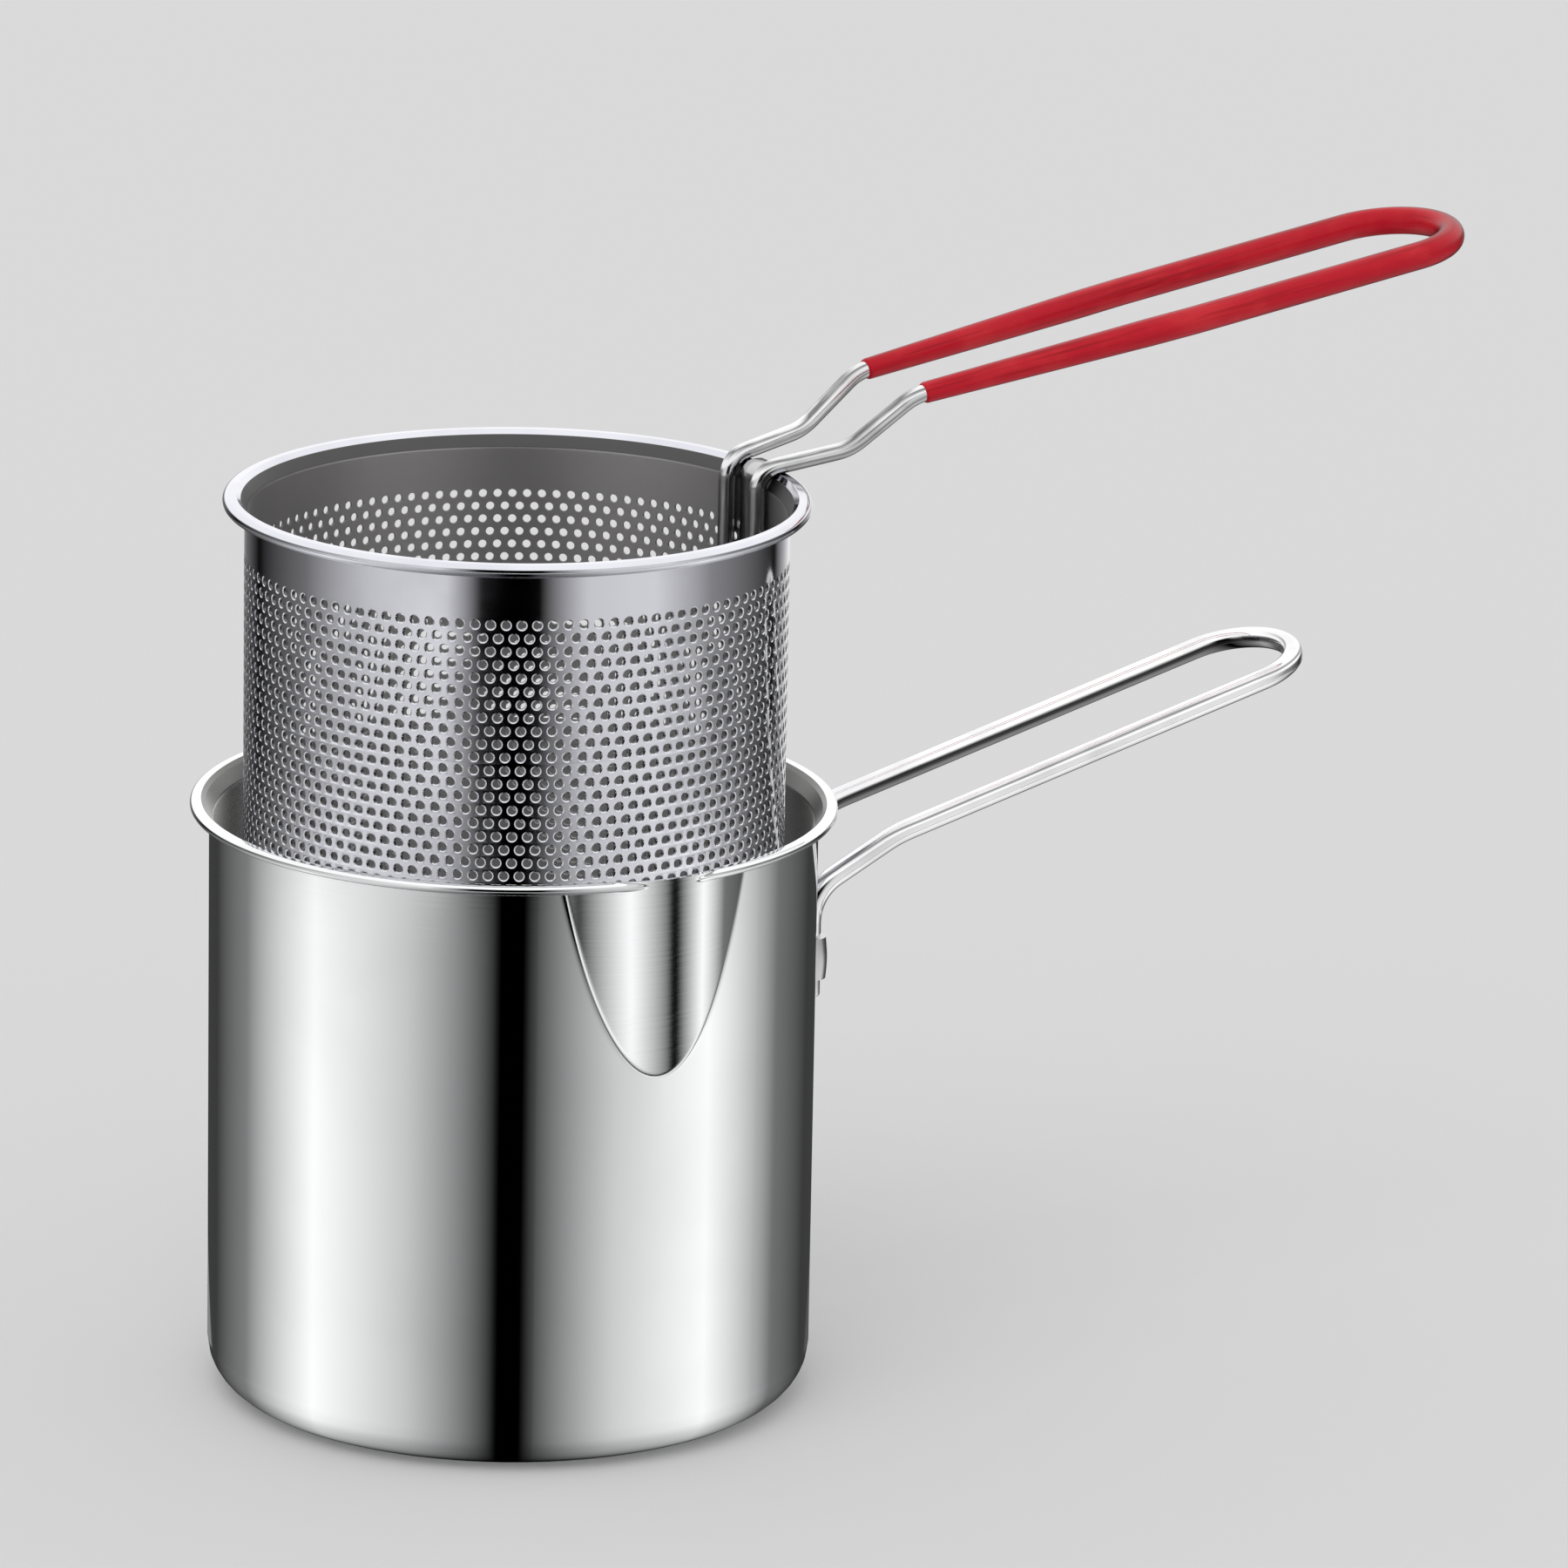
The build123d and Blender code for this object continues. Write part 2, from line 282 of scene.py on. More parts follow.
def insideGroup():
    # 1 on surfaces that face the upright axis, as the inner wall of a pot does, and 0 elsewhere; it marks where shade
    # is painted inside
    group = bpy.data.node_groups.new("innerSide", "ShaderNodeTree")
    face = group.interface
    face.new_socket("Vector", in_out="INPUT", socket_type="NodeSocketVector")
    face.new_socket("Normal", in_out="INPUT", socket_type="NodeSocketVector")
    face.new_socket("Start", in_out="INPUT", socket_type="NodeSocketFloat")
    face.new_socket("Full", in_out="INPUT", socket_type="NodeSocketFloat")
    face.new_socket("Mask", in_out="OUTPUT", socket_type="NodeSocketFloat")
    face.new_socket("Upright", in_out="OUTPUT", socket_type="NodeSocketFloat")
    inside = addNode(group, "NodeGroupInput")
    outside = addNode(group, "NodeGroupOutput")
    level = addNode(group, "ShaderNodeVectorMath", operation="MULTIPLY")
    level.inputs[1].default_value = (1, 1, 0)
    join(group, inside.outputs["Vector"], level.inputs[0])
    out = addNode(group, "ShaderNodeVectorMath", operation="NORMALIZE")
    join(group, level.outputs[0], out.inputs[0])
    facing = addNode(group, "ShaderNodeVectorMath", operation="DOT_PRODUCT")
    join(group, out.outputs[0], facing.inputs[0])
    join(group, inside.outputs["Normal"], facing.inputs[1])
    mask = addNode(group, "ShaderNodeMapRange", interpolation_type="SMOOTHSTEP")
    join(group, inside.outputs["Start"], mask.inputs["From Min"])
    join(group, inside.outputs["Full"], mask.inputs["From Max"])
    join(group, facing.outputs["Value"], mask.inputs["Value"])
    join(group, mask.outputs[0], outside.inputs["Mask"])
    upright = addNode(group, "ShaderNodeMapRange", interpolation_type="SMOOTHSTEP")
    upright.inputs["From Min"].default_value = -0.93
    upright.inputs["From Max"].default_value = -0.99
    join(group, facing.outputs["Value"], upright.inputs["Value"])
    join(group, upright.outputs[0], outside.inputs["Upright"])
    return group


def paintedReflectionGroup(name, bands):
    # painted reflection: light and dark bands painted into a wire's colour along it, at fixed heights round it by the
    # normal's height, standing in for the studio's cards
    group = bpy.data.node_groups.new(name, "ShaderNodeTree")
    face = group.interface
    face.new_socket("Normal", in_out="INPUT", socket_type="NodeSocketVector")
    face.new_socket("Wobble", in_out="INPUT", socket_type="NodeSocketFloat")
    face.new_socket("Level", in_out="OUTPUT", socket_type="NodeSocketFloat")
    inside = addNode(group, "NodeGroupInput")
    outside = addNode(group, "NodeGroupOutput")
    parts = addNode(group, "ShaderNodeSeparateXYZ")
    join(group, inside.outputs["Normal"], parts.inputs[0])
    height = mathNode(group, "ADD", parts.outputs["Z"], inside.outputs["Wobble"])
    ramp = addNode(group, "ShaderNodeValToRGB")
    stops = ramp.color_ramp.elements
    for index, (place, level) in enumerate(bands):
        stop = stops[index] if index < 2 else stops.new((place + 1) / 2)
        stop.position = (place + 1) / 2
        stop.color = (level, level, level, 1)
    join(group, mathNode(group, "MULTIPLY_ADD", height, 0.5, 0.5), ramp.inputs[0])
    join(group, ramp.outputs["Color"], outside.inputs["Level"])
    return group


polishLines = polishGroup()
smudges = smudgeGroup()
innerSide = insideGroup()
# painted reflections: bands for the pot handle's far and near limbs and for the basket's thin wire
farLimbPaintedReflection = paintedReflectionGroup("farLimbPaintedReflection", [
    (-0.5, 0.3), (0, 0.05), (0.2, 0.05), (0.4, 1),
])
nearLimbPaintedReflection = paintedReflectionGroup("nearLimbPaintedReflection", [
    (-0.8, 0.1), (-0.6, 1), (0.5, 1), (0.65, 0.2), (0.8, 1),
])
thinWirePaintedReflection = paintedReflectionGroup("thinWirePaintedReflection", [
    (-0.8, 0.1), (-0.5, 0.7), (-0.1, 0.3), (0.1, 0.9), (0.5, 0.9), (0.75, 0.2), (0.9, 1),
])


def steelMaterial(name, look):
    # polished sheet or drawn wire, with lines that run along look["stretch"], and on wires light and dark bands painted
    # into the colour as reflections
    material = bpy.data.materials.new(name)
    material.use_nodes = True
    tree = material.node_tree
    shader = tree.nodes["Principled BSDF"]
    shader.inputs["Metallic"].default_value = 1.0
    place = addNode(tree, "ShaderNodeTexCoord")
    vector = place.outputs["UV" if look.get("alongUv") else "Object"]
    lines = addNode(tree, "ShaderNodeGroup", node_tree=polishLines)
    lines.inputs["Stretch"].default_value = look["stretch"]
    lines.inputs["Roughness"].default_value = look["roughness"]
    lines.inputs["Spread"].default_value = look["spread"]
    join(tree, vector, lines.inputs["Vector"])
    patches = addNode(tree, "ShaderNodeGroup", node_tree=smudges)
    patches.inputs["Scale"].default_value = look["smudgeScale"]
    patches.inputs["Clean"].default_value = (*look["color"], 1)
    patches.inputs["Worn"].default_value = (*look["wornColor"], 1)
    join(tree, place.outputs["Object"], patches.inputs["Vector"])
    color = patches.outputs["Color"]
    # painted reflection: the wire's colour is scaled by painted bands chosen by normal height, the far limb's set where
    # object y is above 0, the near limb's below
    if "bands" in look:
        streak = addNode(tree, "ShaderNodeGroup", node_tree=polishLines)
        streak.inputs["Stretch"].default_value = look["streak"]
        join(tree, vector, streak.inputs["Vector"])
        wobble = mathNode(tree, "MULTIPLY", mathNode(tree, "SUBTRACT", streak.outputs["Height"], 0.5), look["wobble"])
        levels = []
        for bands in look["bands"]:
            band = addNode(tree, "ShaderNodeGroup", node_tree=bands)
            join(tree, place.outputs["Normal"], band.inputs["Normal"])
            join(tree, wobble, band.inputs["Wobble"])
            levels.append(band.outputs["Level"])
        side = addNode(tree, "ShaderNodeSeparateXYZ")
        join(tree, place.outputs["Object"], side.inputs[0])
        far = addNode(tree, "ShaderNodeMapRange", interpolation_type="SMOOTHSTEP")
        far.inputs["From Min"].default_value = -0.008
        far.inputs["From Max"].default_value = 0.008
        join(tree, side.outputs["Y"], far.inputs["Value"])
        level = addNode(tree, "ShaderNodeMix", data_type="FLOAT")
        join(tree, far.outputs[0], level.inputs[0])
        join(tree, levels[-1], level.inputs[2])
        join(tree, levels[0], level.inputs[3])
        shaded = addNode(tree, "ShaderNodeVectorMath", operation="SCALE")
        join(tree, color, shaded.inputs[0])
        join(tree, level.outputs[0], shaded.inputs["Scale"])
        color = shaded.outputs[0]
    rougher = mathNode(tree, "MULTIPLY", patches.outputs["Mask"], look["smudgeRough"])
    rough = mathNode(tree, "ADD", rougher, lines.outputs["Roughness"])
    # painted shade: inner sides take a darker painted shade colour, and slanted inner faces such as the mouth's flare a
    # darker one still; they are also rougher
    if "insideShadeColor" in look:
        inner = addNode(tree, "ShaderNodeGroup", node_tree=innerSide)
        join(tree, place.outputs["Object"], inner.inputs["Vector"])
        join(tree, place.outputs["Normal"], inner.inputs["Normal"])
        inner.inputs["Start"].default_value, inner.inputs["Full"].default_value = look["innerFrom"]
        mouth = addNode(tree, "ShaderNodeMix", data_type="RGBA")
        join(tree, inner.outputs["Upright"], mouth.inputs[0])
        mouth.inputs[6].default_value = (*look["mouthShadeColor"], 1)
        mouth.inputs[7].default_value = (*look["insideShadeColor"], 1)
        insideShaded = addNode(tree, "ShaderNodeMix", data_type="RGBA")
        join(tree, inner.outputs["Mask"], insideShaded.inputs[0])
        join(tree, color, insideShaded.inputs[6])
        join(tree, mouth.outputs[2], insideShaded.inputs[7])
        color = insideShaded.outputs[2]
        rough = mathNode(tree, "ADD", rough, mathNode(tree, "MULTIPLY", inner.outputs["Mask"], look["innerRough"]))
    join(tree, color, shader.inputs["Base Color"])
    join(tree, rough, shader.inputs["Roughness"])
    bump = addNode(tree, "ShaderNodeBump")
    bump.inputs["Strength"].default_value = look["bumpStrength"]
    bump.inputs["Distance"].default_value = look["bumpDepth"]
    join(tree, lines.outputs["Height"], bump.inputs["Height"])
    join(tree, bump.outputs[0], shader.inputs["Normal"])
    return material


potSteel = steelMaterial("polishedPotSteel", {
    "color": (0.79, 0.803, 0.806), "wornColor": (0.76, 0.772, 0.774),
    "roughness": 0.035, "spread": 0.02, "stretch": (9, 9, 900),
    "smudgeScale": 22, "smudgeRough": 0.012, "bumpStrength": 0.05, "bumpDepth": 0.00002,
    # painted shade inside the pot: a darker inner wall and a darker still flare at the mouth
    "insideShadeColor": (0.42, 0.42, 0.4), "mouthShadeColor": (0.13, 0.13, 0.125), "innerRough": 0.2,
    "innerFrom": (-0.35, -0.6),
})
basketLook = {
    "color": (0.69, 0.692, 0.74), "wornColor": (0.63, 0.632, 0.68),
    "roughness": 0.07, "spread": 0.04, "stretch": (30, 30, 700),
    "smudgeScale": 40, "smudgeRough": 0.03, "bumpStrength": 0.06, "bumpDepth": 0.00002,
    # painted shade inside the basket: a darker inner wall and a darker slanted mouth
    "insideShadeColor": (0.48, 0.47, 0.47), "mouthShadeColor": (0.095, 0.093, 0.093), "innerRough": 0.36,
    "innerFrom": (-0.7, -0.82),
}
basketSteel = steelMaterial("basketSheetSteel", basketLook)
# the punched sheet also has rougher sides to its holes, with painted shade darkening them and its inner face
punchedSteel = steelMaterial("punchedSheetSteel", {
    **basketLook, "mouthShadeColor": (0.16, 0.16, 0.165), "innerFrom": (0.9, 0.8),
})
wireSteel = steelMaterial("drawnWireSteel", {
    "color": (0.84, 0.84, 0.845), "wornColor": (0.74, 0.74, 0.75), "alongUv": True,
    "roughness": 0.1, "spread": 0.08, "stretch": (12, 40, 1),
    "bands": (farLimbPaintedReflection, nearLimbPaintedReflection), "streak": (12, 5, 1), "wobble": 0.3,
    "smudgeScale": 60, "smudgeRough": 0.06, "bumpStrength": 0.1, "bumpDepth": 0.00003,
})
thinWireSteel = steelMaterial("drawnThinWireSteel", {
    "color": (0.8, 0.8, 0.81), "wornColor": (0.62, 0.62, 0.63), "alongUv": True,
    "roughness": 0.12, "spread": 0.08, "stretch": (12, 40, 1),
    "bands": (thinWirePaintedReflection,), "streak": (30, 6, 1), "wobble": 0.7,
    "smudgeScale": 60, "smudgeRough": 0.06, "bumpStrength": 0.15, "bumpDepth": 0.00003,
})
plateSteel = steelMaterial("pressedPlateSteel", {
    "color": (0.5, 0.5, 0.5), "wornColor": (0.36, 0.36, 0.36),
    "roughness": 0.14, "spread": 0.08, "stretch": (300, 300, 60),
    "smudgeScale": 90, "smudgeRough": 0.08, "bumpStrength": 0.12, "bumpDepth": 0.00003,
})


def gripMaterial(look):
    # smooth dipped coating with faint streaks along the wire, and painted shade darkening its edges as they turn from
    # view
    material = bpy.data.materials.new("redDippedGrip")
    material.use_nodes = True
    tree = material.node_tree
    shader = tree.nodes["Principled BSDF"]
    shader.inputs["Coat Weight"].default_value = look["coat"]
    shader.inputs["Specular IOR Level"].default_value = look["specular"]
    shader.inputs["Coat Roughness"].default_value = look["coatRoughness"]
    place = addNode(tree, "ShaderNodeTexCoord")
    lines = addNode(tree, "ShaderNodeGroup", node_tree=polishLines)
    lines.inputs["Stretch"].default_value = look["stretch"]
    lines.inputs["Roughness"].default_value = look["roughness"]
    lines.inputs["Spread"].default_value = look["spread"]
    join(tree, place.outputs["UV"], lines.inputs["Vector"])
    patches = addNode(tree, "ShaderNodeGroup", node_tree=smudges)
    patches.inputs["Scale"].default_value = look["smudgeScale"]
    patches.inputs["Clean"].default_value = (*look["color"], 1)
    patches.inputs["Worn"].default_value = (*look["wornColor"], 1)
    join(tree, place.outputs["Object"], patches.inputs["Vector"])
    drawn = addNode(tree, "ShaderNodeMapRange", interpolation_type="SMOOTHSTEP")
    drawn.inputs["From Min"].default_value, drawn.inputs["From Max"].default_value = look["streakFrom"]
    join(tree, lines.outputs["Height"], drawn.inputs["Value"])
    streaked = addNode(tree, "ShaderNodeMix", data_type="RGBA")
    join(tree, drawn.outputs[0], streaked.inputs[0])
    join(tree, patches.outputs["Color"], streaked.inputs[6])
    streaked.inputs[7].default_value = (*look["streakColor"], 1)
    # painted shade: the colour darkens towards the grip's edges as they turn away from the view
    facing = addNode(tree, "ShaderNodeLayerWeight")
    facing.inputs["Blend"].default_value = 0.5
    rim = addNode(tree, "ShaderNodeMapRange", interpolation_type="SMOOTHSTEP")
    rim.inputs["From Min"].default_value, rim.inputs["From Max"].default_value = look["edgeShadeFrom"]
    join(tree, facing.outputs["Facing"], rim.inputs["Value"])
    edgeShaded = addNode(tree, "ShaderNodeMix", data_type="RGBA")
    join(tree, rim.outputs[0], edgeShaded.inputs[0])
    join(tree, streaked.outputs[2], edgeShaded.inputs[6])
    edgeShaded.inputs[7].default_value = (*look["edgeShadeColor"], 1)
    join(tree, edgeShaded.outputs[2], shader.inputs["Base Color"])
    join(tree, lines.outputs["Roughness"], shader.inputs["Roughness"])
    bump = addNode(tree, "ShaderNodeBump")
    bump.inputs["Strength"].default_value = look["bumpStrength"]
    bump.inputs["Distance"].default_value = look["bumpDepth"]
    join(tree, lines.outputs["Height"], bump.inputs["Height"])
    join(tree, bump.outputs[0], shader.inputs["Normal"])
    return material


redGrip = gripMaterial({
    "color": (0.49, 0.004, 0.017), "wornColor": (0.56, 0.018, 0.027), "specular": 0.16,
    # the last two entries set the painted shade at the grip's edges
    "streakFrom": (0.48, 0.64), "streakColor": (0.35, 0.002, 0.009), "edgeShadeFrom": (0.55, 0.95), "edgeShadeColor": (0.13, 0, 0.003),
    "roughness": 0.34, "spread": 0.16, "coat": 0.05, "coatRoughness": 0.2, "stretch": (18, 10, 1),
    "smudgeScale": 70, "bumpStrength": 0.25, "bumpDepth": 0.0002,
})
print("materials made")


# Pot shell

potShape = {
    "radius": 70 * mm, "height": 140 * mm, "sheet": 1 * mm, "baseCorner": 11 * mm,
    "lipOverhang": 4.4 * mm, "lipDrop": 2.2 * mm, "lipBend": 1.05 * mm, "lipWidth": 2.5 * mm,
    "flare": ((1 * mm, 0.8 * mm), (1.9 * mm, 3.3 * mm)),
    "spoutDepth": 46 * mm, "spoutRadius": 35 * mm, "spoutReach": 4.9 * mm,
    "spoutHalfAngle": 24, "spoutStep": 0.4 * mm, "creaseWidth": 1.5 * mm, "coarseColumns": 180,
}


def spoutReachAt(shape, turns, height, inset):
    # how far out the leaning spout cylinder lies at each turn, 0 where it isn't met
    foot = shape["height"] - shape["spoutDepth"]
    slope = shape["spoutReach"] / shape["spoutDepth"]
    middle = -(shape["radius"] - shape["spoutRadius"]) - slope * (height - foot)
    wide = shape["spoutRadius"] - inset
    deep = wide / cos(atan(slope))
    a = (np.cos(turns) / wide) ** 2 + (np.sin(turns) / deep) ** 2
    b = -2 * np.sin(turns) * middle / deep ** 2
    c = (middle / deep) ** 2 - 1
    root = b * b - 4 * a * c
    return np.where(root > 0, (-b + np.sqrt(np.maximum(root, 0))) / (2 * a), 0)


def softMax(low, high, blend):
    near = np.maximum(blend - np.abs(low - high), 0) / blend
    return np.maximum(low, high) + near * near * blend / 4


def potMesh(shape):
    radius, height, sheet = shape["radius"], shape["height"], shape["sheet"]
    foot = height - shape["spoutDepth"]
    inner, lip = radius - sheet, radius + shape["lipOverhang"]
    under = height - shape["lipDrop"]
    outside = roundedOutline([
        (0, 0, 0), (radius, 0, shape["baseCorner"]), (radius, under, 0.7 * mm),
        (lip, under, shape["lipBend"]), (lip, height, shape["lipBend"]), (inner, height, 0),
    ], 10)[:-1]
    del outside[10]  # one wide step where the wall ends, so that the corner starts crisply
    land = lip - shape["lipWidth"]
    (shallowIn, shallowDown), (steepIn, steepDown) = shape["flare"]
    inside = roundedOutline([
        (lip, height, 0), (land, height, 0.4 * mm), (land - shallowIn, height - shallowDown, 0.8 * mm),
        (inner, height - shallowDown - steepDown, 2 * mm),
        (inner, sheet, shape["baseCorner"] - sheet), (0, sheet, 0),
    ], 8)[1:]
    half = radians(shape["spoutHalfAngle"])
    fineColumns = ceil(2 * half * radius / shape["spoutStep"])
    fine = np.linspace(-half, half, fineColumns, endpoint=False) - pi / 2
    coarse = np.linspace(half, 2 * pi - half, shape["coarseColumns"], endpoint=False) - pi / 2
    turns = np.concatenate([fine, coarse])
    rings = []
    for outline, inset in ((outside, 0), (inside, sheet)):
        step = shape["spoutStep"] * (1.2 if inset == 0 else 2)
        points = []
        for start, end in zip(outline, outline[1:] + [None]):
            points.append(start)
            tall = end is not None and abs(end.y - start.y) > 20 * mm
            if tall:
                low, high = sorted((start.y, end.y))
                levels = list(np.arange(foot - 2 * mm, high, step)) + list(np.linspace(low, foot - 2 * mm, 8))
                levels = sorted(v for v in set(levels) if low < v < high)
                points += [Vector((start.x, v)) for v in (levels if end.y > start.y else reversed(levels))]
        for point in points:
            reach = np.full(len(turns), point.x)
            if point.y > foot - 2 * mm and point.x > inner - 3 * mm:
                climb = max(0.0, (point.y - foot) / shape["spoutDepth"])
                blend = shape["creaseWidth"] / 2 * hypot(0.107, 0.41 * sqrt(climb))
                reach = softMax(reach, spoutReachAt(shape, turns, point.y, inset), blend)
            rings.append(np.stack([reach * np.cos(turns), reach * np.sin(turns), np.full(len(turns), point.y)], 1))
    mesh = gridMesh("potShell", rings, False)
    smoothMesh(mesh, 55)
    # the faint line where the wall turns into the base
    for edge in mesh.edges:
        ends = [mesh.vertices[index].co for index in edge.vertices]
        if all(abs(p.z - shape["baseCorner"]) < 1e-6 and p.xy.length > inner + 1e-4 for p in ends):
            edge.use_edge_sharp = True
    return mesh


potShell = makePiece(potMesh(potShape), "potShell", "pot", ["pot_body"], potSteel)
potShell.visible_glossy = False  # keeps the studio's cards, not the pot, in the other pieces


# Pot handle wire and the strap that holds its feet

potWireShape = {
    "radius": 2.5 * mm, "sides": 28, "arcStep": 1.2 * mm, "cutEdge": 0.6 * mm,
    "footHalf": 14 * mm, "loopHalf": 15.6 * mm, "footHeight": 87 * mm, "kneeHeight": 112 * mm,
    "kneeRadius": 12 * mm, "limbStart": 93.1 * mm, "limbHeight": 123.8 * mm, "limbRadius": 28 * mm,
    "limbLength": 100.4 * mm, "limbRise": 25.7 * mm, "weldGap": 0.05 * mm,
}


def potWire(shape):
    wallSide = potShape["radius"] + shape["weldGap"] + shape["radius"]
    footX = sqrt(wallSide ** 2 - shape["footHalf"] ** 2)
    limb = [
        Vector((footX, shape["footHalf"], shape["footHeight"])),
        Vector((footX, shape["footHalf"], shape["kneeHeight"])),
        Vector((shape["limbStart"], shape["loopHalf"], shape["limbHeight"])),
        Vector((shape["limbStart"] + shape["limbLength"], shape["loopHalf"], shape["limbHeight"] + shape["limbRise"])),
    ]
    route = loopRoute(limb, [shape["kneeRadius"], shape["limbRadius"]], shape["arcStep"])
    route, radii = withRoundEnds(route, [shape["radius"]] * len(route), shape["cutEdge"])
    return tubeMesh("potWire", route, radii, shape["sides"])


makePiece(potWire(potWireShape), "potWire", "pot", ["pot_handle"], wireSteel)


strapShape = {
    "sheet": 1.2 * mm, "foot": 91.5 * mm, "coverHeight": 10 * mm, "webHeight": 21.5 * mm,
    "flange": 4.5 * mm, "bulge": 0.35 * mm, "levels": 12,
}


def strapSection(shape, grow):
    # outer line of the strap seen from above, from one side to the other
    wall = potShape["radius"] + potWireShape["weldGap"]
    cover = potWireShape["radius"] + potWireShape["weldGap"] + shape["sheet"]
    footHalf = potWireShape["footHalf"]
    wallSide = wall + potWireShape["radius"]
    footX = sqrt(wallSide ** 2 - footHalf ** 2)
    reach = footHalf + cover + shape["flange"]
    out = []
    for y in np.linspace(-reach, reach, 241):
        plate = sqrt((wall + shape["sheet"]) ** 2 - y * y)
        near = abs(abs(y) - footHalf)
        dome = footX + sqrt(max(cover ** 2 - near ** 2, 0)) + grow if near < cover else 0
        out.append(Vector((max(plate, dome), y)))
    return out


def strapMesh(shape):
    wall = potShape["radius"] + potWireShape["weldGap"]
    cover = potWireShape["radius"] + potWireShape["weldGap"] + shape["sheet"]
    work = bmesh.new()
    levels = []
    top = shape["foot"] + shape["coverHeight"]
    for level in range(shape["levels"] + 1):
        share = level / shape["levels"]
        grow = shape["bulge"] * 4 * share * (1 - share)
        outer = strapSection(shape, grow)
        z = shape["foot"] + shape["coverHeight"] * share
        levels.append((z, outer))
    rows = []
    for z, outer in levels:
        ring = [work.verts.new((p.x, p.y, z)) for p in outer]
        ring += [work.verts.new((sqrt(wall ** 2 - p.y ** 2), p.y, z)) for p in reversed(outer)]
        rows.append(ring)
    for low, high in zip(rows, rows[1:]):
        for index in range(len(low)):
            beside = (index + 1) % len(low)
            work.faces.new((low[index], low[beside], high[beside], high[index]))
    for ring in (rows[0], rows[-1]):
        half = len(ring) // 2
        for index in range(half - 1):
            work.faces.new((ring[index], ring[index + 1], ring[-index - 2], ring[-index - 1]))
    webHalf = potWireShape["footHalf"] - cover
    webTop = shape["foot"] + shape["webHeight"]
    web = []
    for z in (top, webTop - 2 * mm, webTop - 0.8 * mm, webTop):
        narrow = webHalf - (1.6 * mm if z == webTop else 0.5 * mm if z > webTop - 1.5 * mm else 0)
        ys = np.linspace(-narrow, narrow, 33)
        ring = [work.verts.new((sqrt((wall + shape["sheet"]) ** 2 - y * y), y, z)) for y in ys]
        ring += [work.verts.new((sqrt(wall ** 2 - y * y), y, z)) for y in reversed(ys)]
        web.append(ring)
    for low, high in zip(web, web[1:]):
        for index in range(len(low)):
            beside = (index + 1) % len(low)
            work.faces.new((low[index], low[beside], high[beside], high[index]))
    for ring in (web[0], web[-1]):
        half = len(ring) // 2
        for index in range(half - 1):
            work.faces.new((ring[index], ring[index + 1], ring[-index - 2], ring[-index - 1]))
    bmesh.ops.recalc_face_normals(work, faces=work.faces)
    mesh = bpy.data.meshes.new("potStrap")
    work.to_mesh(mesh)
    work.free()
    smoothMesh(mesh, 40)
    return mesh


makePiece(strapMesh(strapShape), "potStrap", "pot", ["pot_bracket"], plateSteel)


# Basket: rim, bands, perforated sheet and base

basketShape = {
    "radius": 62.2 * mm, "sheet": 0.8 * mm, "foot": 87.9145 * mm, "beadHeight": 210.3145 * mm,
    "beadRadius": 1.5 * mm, "beadOverhang": 5 * mm, "hem": 3.2 * mm,
    "landStart": 64.2 * mm, "flare": ((1.2 * mm, 1.0 * mm), (1.6 * mm, 2.8 * mm)),
    "hole": 2.5 * mm, "dish": 0.26 * mm, "dishDepth": 0.14 * mm, "holesAround": 112, "rowPitch": 3.05 * mm,
    "rows": 33, "topRow": 197 * mm, "holeSides": 16, "columns": 224,
}


def basketBands(shape):
    # the plain band with its rolled rim, and the plain lower band with its turned-in edge
    outer, inner = shape["radius"], shape["radius"] - shape["sheet"]
    bead, beadZ = shape["beadRadius"], shape["beadHeight"]
    ring = outer + shape["beadOverhang"] - bead
    bandFoot = shape["topRow"] + shape["rowPitch"] / 2
    bandTop = shape["topRow"] - shape["rowPitch"] * (shape["rows"] - 0.5)
    top, land = beadZ + bead, shape["landStart"]
    (shallowIn, shallowDown), (steepIn, steepDown) = shape["flare"]
    throat = top - shallowDown - steepDown
    upper = roundedOutline([
        (inner, bandFoot, 0), (outer, bandFoot, 0), (outer, beadZ - bead - 0.8 * mm, 0), (outer, beadZ - bead, 0.3 * mm),
        (ring + bead, beadZ - bead, bead * 0.999), (ring + bead, top, bead * 0.999),
        (land, top, 0.35 * mm), (land - shallowIn, top - shallowDown, 0.8 * mm), (inner, throat, 1.5 * mm),
        (inner, throat - 1.5 * mm, 0),
    ], 10)
    lower = roundedOutline([
        (inner - shape["hem"], shape["foot"], 0), (outer, shape["foot"], 1.4 * mm), (outer, bandTop, 0),
        (inner, bandTop, 0), (inner, shape["foot"] + shape["sheet"], 0.6 * mm),
        (inner - shape["hem"], shape["foot"] + shape["sheet"], 0),
    ], 6)
    meshes = [lathe("upperBand", upper, shape["columns"]), lathe("lowerBand", lower, shape["columns"])]
    work = bmesh.new()
    for mesh in meshes:
        work.from_mesh(mesh)
    joined = bpy.data.meshes.new("basketRim")
    work.to_mesh(joined)
    work.free()
    smoothMesh(joined, 40)
    return joined


def sheetSockets(tree, floats, counts):
    face = tree.interface
    for name in floats:
        face.new_socket(name, in_out="INPUT", socket_type="NodeSocketFloat")
    for name in counts:
        face.new_socket(name, in_out="INPUT", socket_type="NodeSocketInt")
    face.new_socket("Material", in_out="INPUT", socket_type="NodeSocketMaterial")
    face.new_socket("Geometry", in_out="OUTPUT", socket_type="NodeSocketGeometry")
    return addNode(tree, "NodeGroupInput").outputs, addNode(tree, "NodeGroupOutput")


